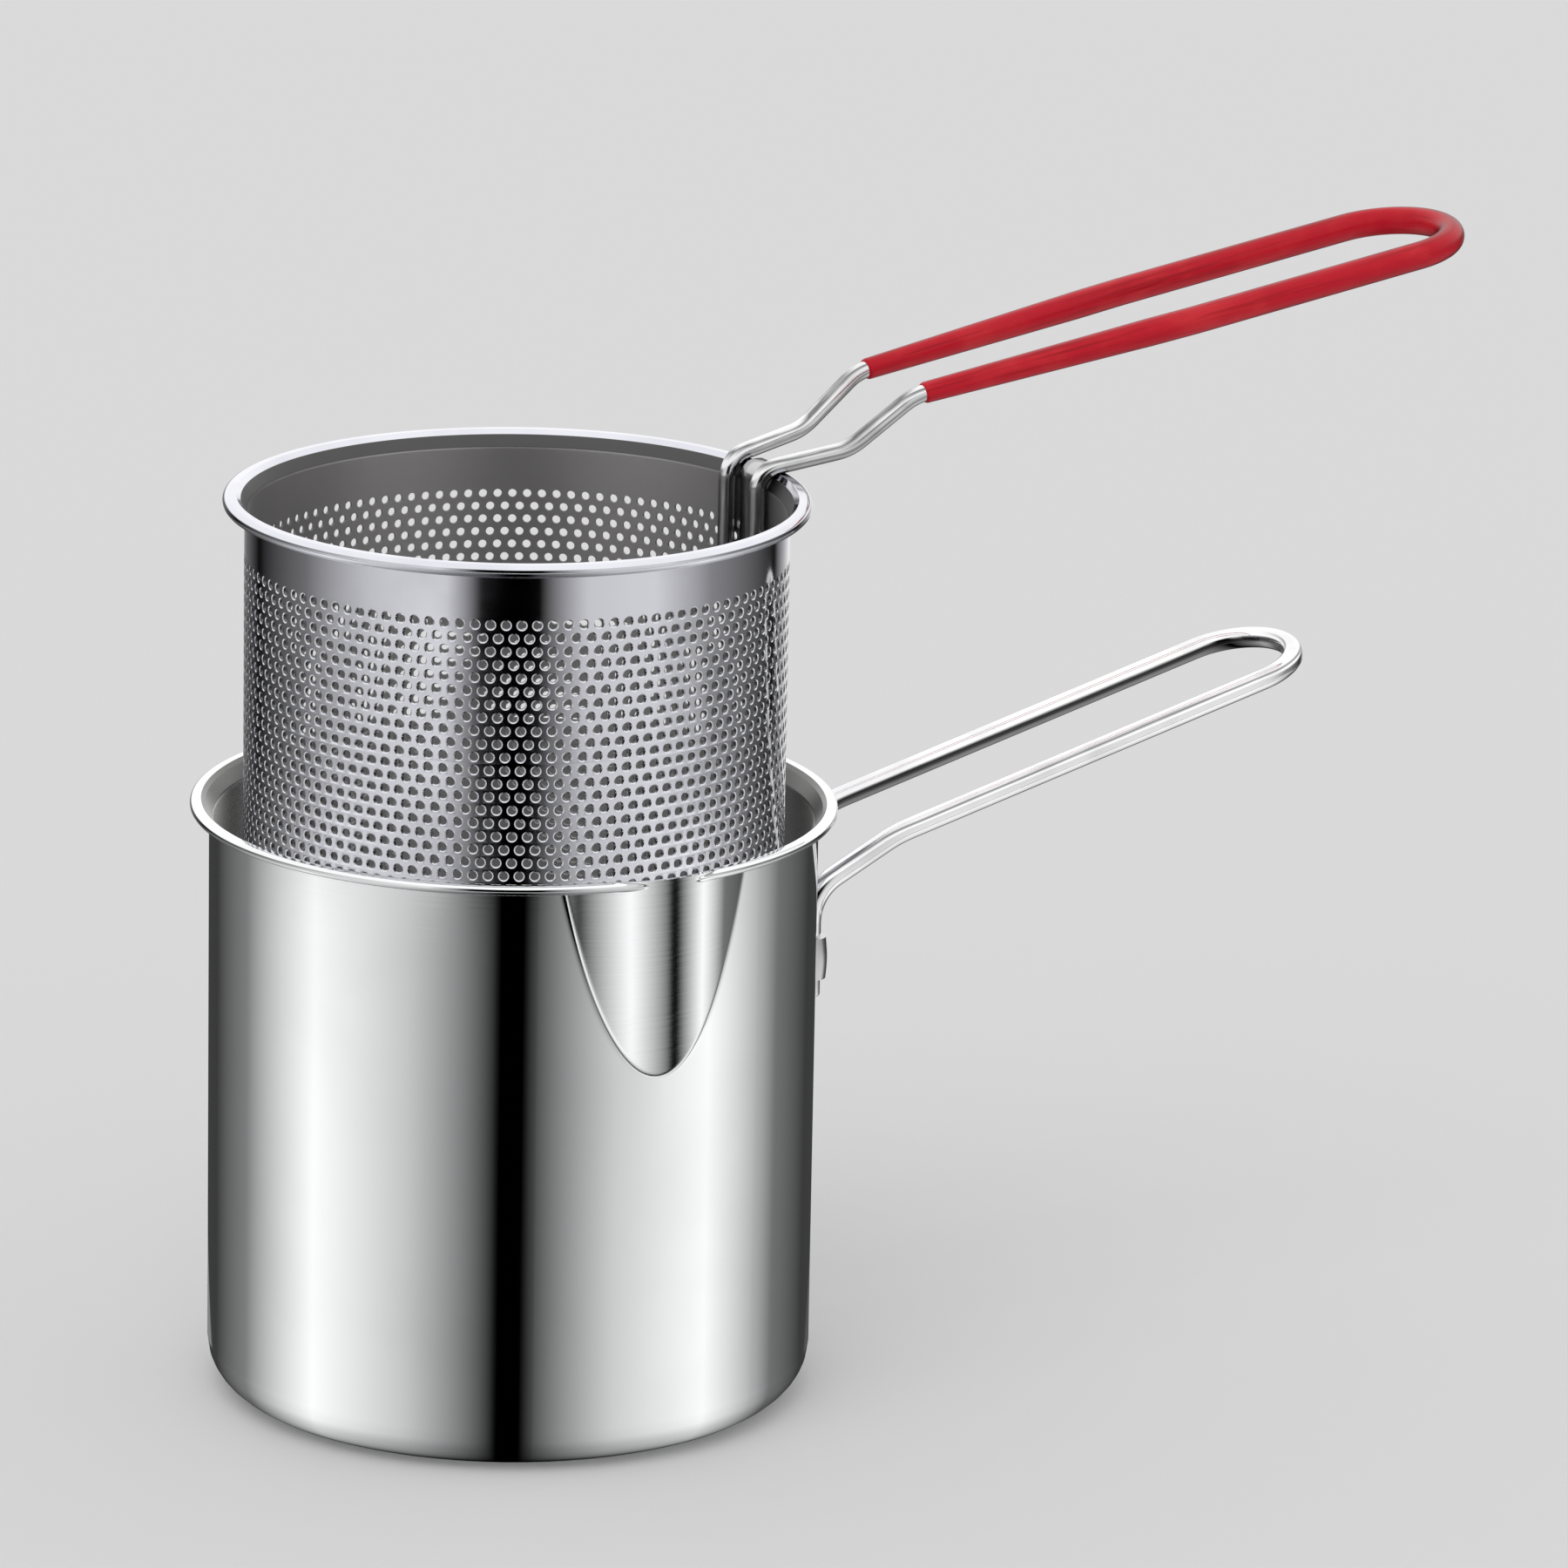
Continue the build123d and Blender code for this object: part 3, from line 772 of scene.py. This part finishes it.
def holePlaces(tree, inside):
    # hole centres in staggered rows, centred on x = 0 and starting at y = 0
    count = mathNode(tree, "MULTIPLY", inside["Columns"], inside["Rows"])
    places = addNode(tree, "GeometryNodeMeshLine", mode="OFFSET")
    join(tree, count, places.inputs["Count"])
    index = addNode(tree, "GeometryNodeInputIndex").outputs[0]
    row = mathNode(tree, "FLOOR", mathNode(tree, "DIVIDE", mathNode(tree, "ADD", index, 0.5), inside["Columns"]))
    column = mathNode(tree, "SUBTRACT", index, mathNode(tree, "MULTIPLY", row, inside["Columns"]))
    shift = mathNode(tree, "MULTIPLY", mathNode(tree, "MODULO", row, 2), 0.5)
    half = mathNode(tree, "MULTIPLY", mathNode(tree, "SUBTRACT", inside["Columns"], 1), 0.5)
    along = mathNode(tree, "SUBTRACT", mathNode(tree, "ADD", column, shift), half)
    spot = addNode(tree, "ShaderNodeCombineXYZ")
    join(tree, mathNode(tree, "MULTIPLY", along, inside["Pitch"]), spot.inputs["X"])
    join(tree, mathNode(tree, "MULTIPLY", row, inside["Row Pitch"]), spot.inputs["Y"])
    spread = addNode(tree, "GeometryNodeSetPosition")
    join(tree, places.outputs[0], spread.inputs["Geometry"])
    join(tree, spot.outputs[0], spread.inputs["Position"])
    return spread.outputs[0]


def holeCurve(tree, inside, radius=None):
    circle = addNode(tree, "GeometryNodeCurvePrimitiveCircle", mode="RADIUS")
    join(tree, inside["Hole Sides"], circle.inputs["Resolution"])
    join(tree, radius or mathNode(tree, "MULTIPLY", inside["Hole"], 0.5), circle.inputs["Radius"])
    return circle.outputs["Curve"]


def holeSide(tree, inside, lowRadius, highRadius, lowest, highest):
    # one ring of the hole's side, facing the middle of the hole
    side = addNode(tree, "GeometryNodeMeshCone", fill_type="NONE")
    join(tree, inside["Hole Sides"], side.inputs["Vertices"])
    join(tree, highRadius, side.inputs["Radius Top"])
    join(tree, lowRadius, side.inputs["Radius Bottom"])
    join(tree, mathNode(tree, "SUBTRACT", highest, lowest), side.inputs["Depth"])
    flat = addNode(tree, "ShaderNodeSeparateXYZ")
    join(tree, addNode(tree, "GeometryNodeInputPosition").outputs[0], flat.inputs[0])
    lowered = moved(tree, side.outputs["Mesh"], flat.outputs["X"], flat.outputs["Y"], mathNode(tree, "ADD", flat.outputs["Z"], lowest))
    return flipped(tree, lowered)


def flipped(tree, geometry):
    turned = addNode(tree, "GeometryNodeFlipFaces")
    join(tree, geometry, turned.inputs[0])
    return turned.outputs[0]


def filledCurves(tree, *curves):
    both = addNode(tree, "GeometryNodeJoinGeometry")
    for curve in curves:
        join(tree, curve, both.inputs[0])
    filled = addNode(tree, "GeometryNodeFillCurve", mode="TRIANGLES")
    join(tree, both.outputs[0], filled.inputs["Curve"])
    return filled.outputs[0]


def placed(tree, places, shape):
    copies = addNode(tree, "GeometryNodeInstanceOnPoints")
    join(tree, places, copies.inputs["Points"])
    join(tree, shape, copies.inputs["Instance"])
    whole = addNode(tree, "GeometryNodeRealizeInstances")
    join(tree, copies.outputs[0], whole.inputs[0])
    return whole.outputs[0]


def moved(tree, geometry, *axes):
    spot = addNode(tree, "ShaderNodeCombineXYZ")
    for axis, value in zip("XYZ", axes):
        join(tree, value, spot.inputs[axis])
    shifted = addNode(tree, "GeometryNodeSetPosition")
    join(tree, geometry, shifted.inputs["Geometry"])
    join(tree, spot.outputs[0], shifted.inputs["Position"])
    return shifted.outputs[0]


def dressed(tree, geometry, inside, outside):
    whole = addNode(tree, "GeometryNodeRealizeInstances")
    join(tree, geometry, whole.inputs[0])
    coated = addNode(tree, "GeometryNodeSetMaterial")
    join(tree, whole.outputs[0], coated.inputs["Geometry"])
    join(tree, inside["Material"], coated.inputs["Material"])
    join(tree, coated.outputs[0], outside.inputs["Geometry"])


def rolledSheetTree():
    # one cell with a dished round hole, repeated over a flat sheet that is then rolled into a tube
    tree = bpy.data.node_groups.new("rolledPerforatedSheet", "GeometryNodeTree")
    inside, outside = sheetSockets(
        tree, ("Pitch", "Row Pitch", "Hole", "Dish", "Dish Depth", "Sheet", "Radius", "First Height"),
        ("Columns", "Rows", "Hole Sides"),
    )
    oblong = addNode(tree, "GeometryNodeCurvePrimitiveQuadrilateral", mode="RECTANGLE")
    join(tree, inside["Pitch"], oblong.inputs["Width"])
    join(tree, inside["Row Pitch"], oblong.inputs["Height"])
    halved = addNode(tree, "GeometryNodeSubdivideCurve")
    join(tree, oblong.outputs[0], halved.inputs["Curve"])
    wide = mathNode(tree, "MULTIPLY", inside["Hole"], 0.5)
    narrow = mathNode(tree, "SUBTRACT", wide, inside["Dish"])
    dishFoot = mathNode(tree, "MULTIPLY", inside["Dish Depth"], -1)
    back = mathNode(tree, "MULTIPLY", inside["Sheet"], -1)
    flat = addNode(tree, "ShaderNodeSeparateXYZ")
    join(tree, addNode(tree, "GeometryNodeInputPosition").outputs[0], flat.inputs[0])
    backFace = filledCurves(tree, holeCurve(tree, inside, narrow), halved.outputs[0])
    layers = [
        filledCurves(tree, holeCurve(tree, inside, wide), halved.outputs[0]),
        holeSide(tree, inside, narrow, wide, dishFoot, 0.0),
        holeSide(tree, inside, narrow, narrow, back, dishFoot),
        flipped(tree, moved(tree, backFace, flat.outputs["X"], flat.outputs["Y"], back)),
    ]
    cell = addNode(tree, "GeometryNodeJoinGeometry")
    for layer in layers:
        join(tree, layer, cell.inputs[0])
    sheet = placed(tree, holePlaces(tree, inside), cell.outputs[0])
    flat = addNode(tree, "ShaderNodeSeparateXYZ")
    join(tree, addNode(tree, "GeometryNodeInputPosition").outputs[0], flat.inputs[0])
    turn = mathNode(tree, "DIVIDE", flat.outputs["X"], inside["Radius"])
    out = mathNode(tree, "ADD", flat.outputs["Z"], inside["Radius"])
    tube = moved(
        tree, sheet,
        mathNode(tree, "MULTIPLY", mathNode(tree, "COSINE", turn), out),
        mathNode(tree, "MULTIPLY", mathNode(tree, "SINE", turn), out),
        mathNode(tree, "ADD", flat.outputs["Y"], inside["First Height"]),
    )
    joined = addNode(tree, "GeometryNodeMergeByDistance")
    joined.inputs["Distance"].default_value = 1e-5
    join(tree, tube, joined.inputs["Geometry"])
    dressed(tree, joined.outputs[0], inside, outside)
    return tree


def discTree():
    # a round plate with staggered round holes that keep clear of its edge
    tree = bpy.data.node_groups.new("perforatedDisc", "GeometryNodeTree")
    inside, outside = sheetSockets(
        tree, ("Pitch", "Row Pitch", "Hole", "Radius", "First Height"), ("Columns", "Rows", "Hole Sides", "Edge Sides")
    )
    spots = holePlaces(tree, inside)
    flat = addNode(tree, "ShaderNodeSeparateXYZ")
    join(tree, addNode(tree, "GeometryNodeInputPosition").outputs[0], flat.inputs[0])
    rows = mathNode(tree, "MULTIPLY", mathNode(tree, "SUBTRACT", inside["Rows"], 1), 0.5)
    centred = mathNode(tree, "SUBTRACT", flat.outputs["Y"], mathNode(tree, "MULTIPLY", rows, inside["Row Pitch"]))
    spots = moved(tree, spots, flat.outputs["X"], centred)
    distance = addNode(tree, "ShaderNodeVectorMath", operation="LENGTH")
    join(tree, addNode(tree, "GeometryNodeInputPosition").outputs[0], distance.inputs[0])
    limit = mathNode(tree, "SUBTRACT", inside["Radius"], mathNode(tree, "MULTIPLY", inside["Pitch"], 1.6))
    kept = addNode(tree, "GeometryNodeDeleteGeometry", domain="POINT")
    join(tree, spots, kept.inputs["Geometry"])
    join(tree, mathNode(tree, "GREATER_THAN", distance.outputs["Value"], limit), kept.inputs["Selection"])
    holes = placed(tree, kept.outputs[0], holeCurve(tree, inside))
    edge = addNode(tree, "GeometryNodeCurvePrimitiveCircle", mode="RADIUS")
    join(tree, inside["Edge Sides"], edge.inputs["Resolution"])
    join(tree, inside["Radius"], edge.inputs["Radius"])
    plate = filledCurves(tree, holes, edge.outputs["Curve"])
    flat = addNode(tree, "ShaderNodeSeparateXYZ")
    join(tree, addNode(tree, "GeometryNodeInputPosition").outputs[0], flat.inputs[0])
    dressed(tree, moved(tree, plate, flat.outputs["X"], flat.outputs["Y"], inside["First Height"]), inside, outside)
    return tree


def perforated(name, tree, values, thickness=0):
    # runs the tree with these sizes and returns a plain mesh, thickened where the tree makes one layer
    carrier = bpy.data.objects.new(name + "Carrier", bpy.data.meshes.new(name + "Carrier"))
    scene.collection.objects.link(carrier)
    nodes = carrier.modifiers.new("perforate", "NODES")
    nodes.node_group = tree
    for item in tree.interface.items_tree:
        if item.in_out == "INPUT":
            nodes[item.identifier] = values[item.name]
    if thickness:
        solid = carrier.modifiers.new("thickness", "SOLIDIFY")
        solid.thickness = thickness
        solid.offset = -1
        solid.use_even_offset = True
    plain = bpy.data.meshes.new_from_object(carrier.evaluated_get(bpy.context.evaluated_depsgraph_get()))
    carrier.modifiers.clear()
    bpy.data.objects.remove(carrier)
    plain.name = name
    smoothMesh(plain, 40)
    return plain


def basketSheet(name, tree, shape, firstRow, rows):
    mesh = perforated(name, tree, {
        "Pitch": 2 * pi * shape["radius"] / shape["holesAround"], "Row Pitch": shape["rowPitch"],
        "Hole": shape["hole"], "Dish": shape["dish"], "Dish Depth": shape["dishDepth"], "Sheet": shape["sheet"],
        "Radius": shape["radius"], "First Height": shape["topRow"] - shape["rowPitch"] * (shape["rows"] - 1 - firstRow),
        "Columns": shape["holesAround"], "Rows": rows, "Hole Sides": shape["holeSides"], "Material": punchedSteel,
    })
    # close the sheet's two cut edges
    work = bmesh.new()
    work.from_mesh(mesh)
    cutEdges = [edge for edge in work.edges if edge.is_boundary]
    middle = sum(edge.verts[0].co.z for edge in cutEdges) / len(cutEdges)
    for side in (-1, 1):
        bmesh.ops.bridge_loops(work, edges=[e for e in cutEdges if (e.verts[0].co.z - middle) * side > 0])
    bmesh.ops.recalc_face_normals(work, faces=work.faces)
    work.to_mesh(mesh)
    work.free()
    smoothMesh(mesh, 18)
    return mesh


def basketBase(tree, shape):
    plateRadius = shape["radius"] - shape["sheet"] - 0.05 * mm
    count = 2 * int(plateRadius / shape["rowPitch"]) + 3
    return perforated("basketBase", tree, {
        "Pitch": 2 * pi * shape["radius"] / shape["holesAround"], "Row Pitch": shape["rowPitch"],
        "Hole": shape["hole"], "Radius": plateRadius, "First Height": shape["foot"] + 2 * shape["sheet"] + 0.05 * mm,
        "Columns": count, "Rows": count, "Hole Sides": 12, "Edge Sides": 192, "Material": basketSteel,
    }, shape["sheet"])


makePiece(basketBands(basketShape), "basketRim", "basket", ["basket_wall"], basketSteel)
rolledSheet = rolledSheetTree()
for name, firstRow in (("basketSheetLow", 0), ("basketSheetMiddle", 11), ("basketSheetHigh", 22)):
    sheet = basketSheet(name, rolledSheet, basketShape, firstRow, 11)
    makePiece(sheet, name, "basket", ["basket_wall"], punchedSteel)
makePiece(basketBase(discTree(), basketShape), "basketBase", "basket", ["basket_base"], basketSteel)


# Basket handle wire, its dipped grip and the saddle over the rim

basketWireShape = {
    "radius": 2 * mm, "sides": 24, "arcStep": 1 * mm, "cutEdge": 0.5 * mm, "legHalf": 7 * mm,
    "legLength": 25.4 * mm, "kneeRadius": 6 * mm, "shelfLength": 15.2 * mm, "shelfRise": 2.6 * mm,
    "shelfHalf": 11 * mm, "shelfRadius": 14 * mm, "stepLength": 15.8 * mm, "stepRise": 11.5 * mm,
    "stepHalf": 13.2 * mm, "stepRadius": 14 * mm, "flareLength": 73.4 * mm, "flareRadius": 150 * mm,
    "limbLength": 136.2 * mm, "limbRise": 21 * mm, "loopHalf": 16.7 * mm, "legGap": 0.2 * mm, "weldGap": 0.05 * mm,
}


def basketLimb(shape, basket):
    inner = basket["radius"] - basket["sheet"]
    legX = sqrt((inner - shape["legGap"] - shape["radius"]) ** 2 - shape["legHalf"] ** 2)
    ring = basket["radius"] + basket["beadOverhang"] - basket["beadRadius"]
    shelf = basket["beadHeight"] + basket["beadRadius"] + shape["weldGap"] + shape["radius"]
    slope = shape["shelfRise"] / shape["shelfLength"]
    shelfEnd, stepEnd = ring + shape["shelfLength"], ring + shape["shelfLength"] + shape["stepLength"]
    stepZ = shelf + shape["shelfRise"] + shape["stepRise"]
    limbSlope = shape["limbRise"] / shape["limbLength"]
    return [
        Vector((legX, shape["legHalf"], basket["beadHeight"] - shape["legLength"])),
        Vector((legX, shape["legHalf"], shelf - slope * (ring - legX))),
        Vector((shelfEnd, shape["shelfHalf"], shelf + shape["shelfRise"])),
        Vector((stepEnd, shape["stepHalf"], stepZ)),
        Vector((stepEnd + shape["flareLength"], shape["loopHalf"], stepZ + limbSlope * shape["flareLength"])),
        Vector((stepEnd + shape["limbLength"], shape["loopHalf"], stepZ + shape["limbRise"])),
    ]


def basketWire(shape, basket):
    limb = basketLimb(shape, basket)
    bends = [shape["kneeRadius"], shape["shelfRadius"], shape["stepRadius"], shape["flareRadius"]]
    route = loopRoute(limb, bends, shape["arcStep"])
    route, radii = withRoundEnds(route, [shape["radius"]] * len(route), shape["cutEdge"])
    return tubeMesh("basketWire", route, radii, shape["sides"])


makePiece(basketWire(basketWireShape, basketShape), "basketWire", "basket", ["basket_handle"], thinWireSteel)

gripShape = {
    "startShare": 0.03, "startRadius": 2.5 * mm, "radius": 3.3 * mm, "taper": 60 * mm, "lip": 0.9 * mm,
    "arcStep": 0.9 * mm, "sides": 32, "stations": 3 * mm,
}


def gripMesh(shape, wire, basket):
    limb = basketLimb(wire, basket)
    start = limb[3].lerp(limb[4], shape["startShare"])
    route = loopRoute([start, limb[4], limb[5]], [wire["flareRadius"]], shape["arcStep"])
    fine = []
    for begin, end in zip(route, route[1:]):
        pieces = max(1, ceil((end - begin).length / shape["stations"]))
        fine += [begin.lerp(end, step / pieces) for step in range(pieces)]
    fine.append(route[-1])
    lips = [shape["lip"] * share for share in (0.08, 0.25, 0.5, 0.75, 1.0)]
    ahead = (fine[1] - fine[0]).normalized()
    head = [fine[0] + ahead * gap for gap in lips]
    tail = [Vector((p.x, -p.y, p.z)) for p in reversed(head)]
    fine = [fine[0]] + head + fine[1:-1] + tail + [fine[-1]]
    total = [0.0]
    for begin, end in zip(fine, fine[1:]):
        total.append(total[-1] + (end - begin).length)
    radii = []
    for along in total:
        near = min(along, total[-1] - along)
        body = shape["startRadius"] + (shape["radius"] - shape["startRadius"]) * min(1, near / shape["taper"])
        share = min(1, near / shape["lip"])
        radii.append(wire["radius"] * 0.96 + (body - wire["radius"] * 0.96) * sqrt(max(0, 1 - (1 - share) ** 2)))
    return tubeMesh("redGrip", fine, radii, shape["sides"])


makePiece(gripMesh(gripShape, basketWireShape, basketShape), "redGrip", "basket", ["basket_grip"], redGrip)

saddleShape = {"sheet": 0.8 * mm, "width": 7.8 * mm, "legLength": 17.4 * mm, "hookLength": 2.6 * mm, "mouthRound": 3 * mm}


def saddleMesh(shape, wire, basket):
    gap, sheet = wire["weldGap"], shape["sheet"]
    outer = basket["radius"] - basket["sheet"] - gap
    inner = outer - sheet
    under = basket["beadHeight"] + basket["beadRadius"] + gap
    top = under + sheet
    hook = basket["radius"] + basket["beadOverhang"] + gap + sheet
    mouth, bead = shape["mouthRound"], basket["beadRadius"] + gap
    low, hookLow = basket["beadHeight"] - shape["legLength"], basket["beadHeight"] - shape["hookLength"]
    outline = roundedOutline([
        (inner, low, 0), (inner, top, mouth + sheet), (hook, top, bead + sheet), (hook, hookLow, 0),
        (hook - sheet, hookLow, 0), (hook - sheet, under, bead), (outer, under, mouth), (outer, low, 0),
    ], 8)
    half = shape["width"] / 2
    work = bmesh.new()
    near = [work.verts.new((p.x, -half, p.y)) for p in outline]
    far = [work.verts.new((p.x, half, p.y)) for p in outline]
    for index in range(len(outline)):
        beside = (index + 1) % len(outline)
        work.faces.new((near[index], near[beside], far[beside], far[index]))
    work.faces.new(list(reversed(near)))
    work.faces.new(far)
    bmesh.ops.recalc_face_normals(work, faces=work.faces)
    mesh = bpy.data.meshes.new("rimSaddle")
    work.to_mesh(mesh)
    work.free()
    smoothMesh(mesh, 40)
    return mesh


makePiece(saddleMesh(saddleShape, basketWireShape, basketShape), "rimSaddle", "basket", ["basket_saddle"], plateSteel)


# Floor, world, lamp and camera

studio = {
    "backdrop": 0.685, "floorSize": 8.0, "floorColor": 0.705, "skyLevel": 0.86, "sunLevel": 0.5,
    "sunSpread": 40, "sunTilt": (18, -24), "cameraTurn": -118.5, "overhead": 1.25, "overheadStart": 0.42,
    "overheadFull": 0.58, "overheadLean": 0.24, "brightest": 1.3,
    "highSplit": -0.271, "highSway": 0.004, "splitWidth": 0.005,
    "viewLevel": 0.952, "viewRise": 0.305, "spoutSlant": 0.045, "footSlant": 0.125, "slantWidth": 0.006,
    "spoutLean": 0.1065, "spoutTurn": 28.5, "spoutMiddle": 0.0205, "spoutShift": 1.83,
}
# broad studio cards by degrees round from the camera's side, their rough places and brightness guided by the photo:
# a dark flag between two wide soft boxes for the pot
potCards = [
    (-150, 0.05), (-120, 0.25), (-80, 1.25), (-40, 0.7), (-5, 0), (5, 0), (40, 0.75), (80, 1.25), (120, 0.2), (150, 0.05),
]
# the higher ones that the basket sees
basketCards = [
    (-180, 0.6), (-165, 0.2), (-140, 0), (-100, 0.2), (-60, 0.8), (-30, 0.95), (-15, 0), (10, 0),
    (30, 0.8), (60, 0.9), (90, 0.3), (140, 0), (165, 0.9),
]
# and the lower ones that the leaning spout sees
spoutCards = [
    (-120, 0.25), (-80, 1.2), (-10, 0.05), (30, 1.25), (60, 0.25), (65, 0), (70, 0), (95, 1.25), (120, 0.2), (150, 0.1),
]
# how much of the pot's light is left on surfaces that turn down, by slant
footFade = [(0.2, 1), (0.6, 0.65), (1.6, 0.05)]


def floorPiece():
    half = studio["floorSize"] / 2
    work = bmesh.new()
    corners = [work.verts.new((x * half, y * half, 0)) for x, y in ((-1, -1), (1, -1), (1, 1), (-1, 1))]
    work.faces.new(corners)
    mesh = bpy.data.meshes.new("studioFloor")
    work.to_mesh(mesh)
    work.free()
    material = bpy.data.materials.new("palePaper")
    material.use_nodes = True
    shader = material.node_tree.nodes["Principled BSDF"]
    shader.inputs["Base Color"].default_value = (studio["floorColor"], studio["floorColor"] * 0.993, studio["floorColor"], 1)
    shader.inputs["Roughness"].default_value = 1.0
    shader.inputs["Specular IOR Level"].default_value = 0.0
    floor = bpy.data.objects.new("studioFloor", mesh)
    mesh.materials.append(material)
    scene.collection.objects.link(floor)
    floor.visible_glossy = False


def levelRamp(tree, share, levels, start, end):
    # light levels by degrees or by slant, from start to end
    ramp = addNode(tree, "ShaderNodeValToRGB")
    stops = ramp.color_ramp.elements
    for index, (value, level) in enumerate(levels):
        place = (value - start) / (end - start)
        stop = stops[index] if index < 2 else stops.new(place)
        stop.position = place
        stop.color = (*[level / studio["brightest"]] * 3, 1)
    join(tree, share, ramp.inputs[0])
    return mathNode(tree, "MULTIPLY", ramp.outputs["Color"], studio["brightest"])


def stepNode(tree, value, start, end):
    # 0 before start and 1 past end, with soft corners
    step = addNode(tree, "ShaderNodeMapRange", interpolation_type="SMOOTHSTEP")
    for socket, given in (("Value", value), ("From Min", start), ("From Max", end)):
        if isinstance(given, (int, float)):
            step.inputs[socket].default_value = given
        else:
            join(tree, given, step.inputs[socket])
    return step.outputs[0]


def blendNode(tree, share, low, high):
    blend = addNode(tree, "ShaderNodeMix", data_type="FLOAT")
    for index, given in ((0, share), (2, low), (3, high)):
        if isinstance(given, (int, float)):
            blend.inputs[index].default_value = given
        else:
            join(tree, given, blend.inputs[index])
    return blend.outputs[0]


def studioWorld():
    world = bpy.data.worlds.new("studio")
    scene.world = world
    world.use_nodes = True
    tree = world.node_tree
    tree.nodes.clear()
    place = addNode(tree, "ShaderNodeTexCoord")
    turned = addNode(tree, "ShaderNodeVectorRotate", rotation_type="Z_AXIS")
    turned.inputs["Angle"].default_value = radians(-studio["cameraTurn"])
    join(tree, place.outputs["Generated"], turned.inputs["Vector"])
    parts = addNode(tree, "ShaderNodeSeparateXYZ")
    join(tree, turned.outputs[0], parts.inputs[0])
    height = parts.outputs["Z"]
    around = mathNode(tree, "ARCTAN2", parts.outputs["Y"], parts.outputs["X"])
    share = mathNode(tree, "ADD", mathNode(tree, "DIVIDE", around, 2 * pi), 0.5)
    # a mirror that shows this part of the studio to the photo's viewpoint faces this way and leans this much
    facing = mathNode(tree, "ADD", parts.outputs["X"], studio["viewLevel"])
    turnedBy = mathNode(tree, "ARCTAN2", parts.outputs["Y"], facing)
    facingShare = mathNode(tree, "ADD", mathNode(tree, "DIVIDE", turnedBy, pi), 0.5)
    level = mathNode(tree, "SQRT", mathNode(tree, "ADD", mathNode(tree, "POWER", facing, 2), mathNode(tree, "POWER", parts.outputs["Y"], 2)))
    slant = mathNode(tree, "DIVIDE", mathNode(tree, "MULTIPLY", mathNode(tree, "ADD", height, studio["viewRise"]), -1), level)
    width, slantWidth = studio["splitWidth"] / 2, studio["slantWidth"] / 2
    sway = mathNode(tree, "MULTIPLY", mathNode(tree, "COSINE", around), studio["highSway"])
    leaned = mathNode(tree, "ADD", height, sway)
    high = stepNode(tree, leaned, studio["highSplit"] - width, studio["highSplit"] + width)
    spout = stepNode(tree, slant, studio["spoutSlant"] - slantWidth, studio["spoutSlant"] + slantWidth)
    foot = stepNode(tree, slant, studio["footSlant"] - slantWidth, studio["footSlant"] + slantWidth)
    potSees = levelRamp(tree, share, potCards, -180, 180)
    upright = blendNode(tree, high, potSees, levelRamp(tree, share, basketCards, -180, 180))
    # the spout's cards move round a little towards its lip
    lean = mathNode(tree, "COSINE", mathNode(tree, "SUBTRACT", turnedBy, radians(studio["spoutTurn"])))
    rise = mathNode(tree, "MULTIPLY", mathNode(tree, "SUBTRACT", mathNode(tree, "MULTIPLY", lean, studio["spoutLean"]), slant), level)
    climb = mathNode(tree, "SUBTRACT", rise, studio["spoutMiddle"])
    shifted = mathNode(tree, "ADD", share, mathNode(tree, "MULTIPLY", climb, studio["spoutShift"]))
    leaning = blendNode(tree, spout, upright, levelRamp(tree, shifted, spoutCards, -180, 180))
    fade = levelRamp(tree, mathNode(tree, "DIVIDE", slant, 2), footFade, 0, 2)
    below = mathNode(tree, "MULTIPLY", levelRamp(tree, facingShare, potCards, -180, 180), fade)
    cards = blendNode(tree, foot, leaning, below)
    tipped = mathNode(tree, "MULTIPLY", mathNode(tree, "SUBTRACT", 1.0, mathNode(tree, "COSINE", around)), studio["overheadLean"])
    overhead = stepNode(tree, mathNode(tree, "ADD", height, tipped), studio["overheadStart"], studio["overheadFull"])
    lifted = blendNode(tree, overhead, cards, studio["overhead"])
    path = addNode(tree, "ShaderNodeLightPath")
    plain = blendNode(tree, path.outputs["Is Camera Ray"], studio["skyLevel"], studio["backdrop"])
    level = blendNode(tree, path.outputs["Is Glossy Ray"], plain, lifted)
    light = addNode(tree, "ShaderNodeBackground")
    light.inputs["Color"].default_value = (1, 1, 1, 1)
    join(tree, level, light.inputs["Strength"])
    output = addNode(tree, "ShaderNodeOutputWorld")
    join(tree, light.outputs[0], output.inputs["Surface"])


def studioSun():
    lamp = bpy.data.lights.new("softSun", "SUN")
    lamp.energy = studio["sunLevel"]
    lamp.angle = radians(studio["sunSpread"])
    sun = bpy.data.objects.new("softSun", lamp)
    sun.rotation_euler = (radians(studio["sunTilt"][0]), radians(studio["sunTilt"][1]), 0)
    sun.visible_glossy = False
    scene.collection.objects.link(sun)


def photoCamera():
    lens = bpy.data.cameras.new("photoCamera")
    lens.lens = 228.3
    lens.sensor_width = 36
    lens.clip_start = 0.05
    camera = bpy.data.objects.new("photoCamera", lens)
    place = Matrix.Translation((-1.0502, -1.9343, 0.7525))
    heading = Matrix.Rotation(radians(-30.11), 4, "Z")
    tilt = Matrix.Rotation(radians(90 - 15.447), 4, "X")
    roll = Matrix.Rotation(radians(1.089), 4, "Z")
    camera.matrix_world = place @ heading @ tilt @ roll
    scene.collection.objects.link(camera)
    scene.camera = camera


floorPiece()
studioWorld()
studioSun()
photoCamera()
scene.view_settings.view_transform = "Standard"
print("studio made")
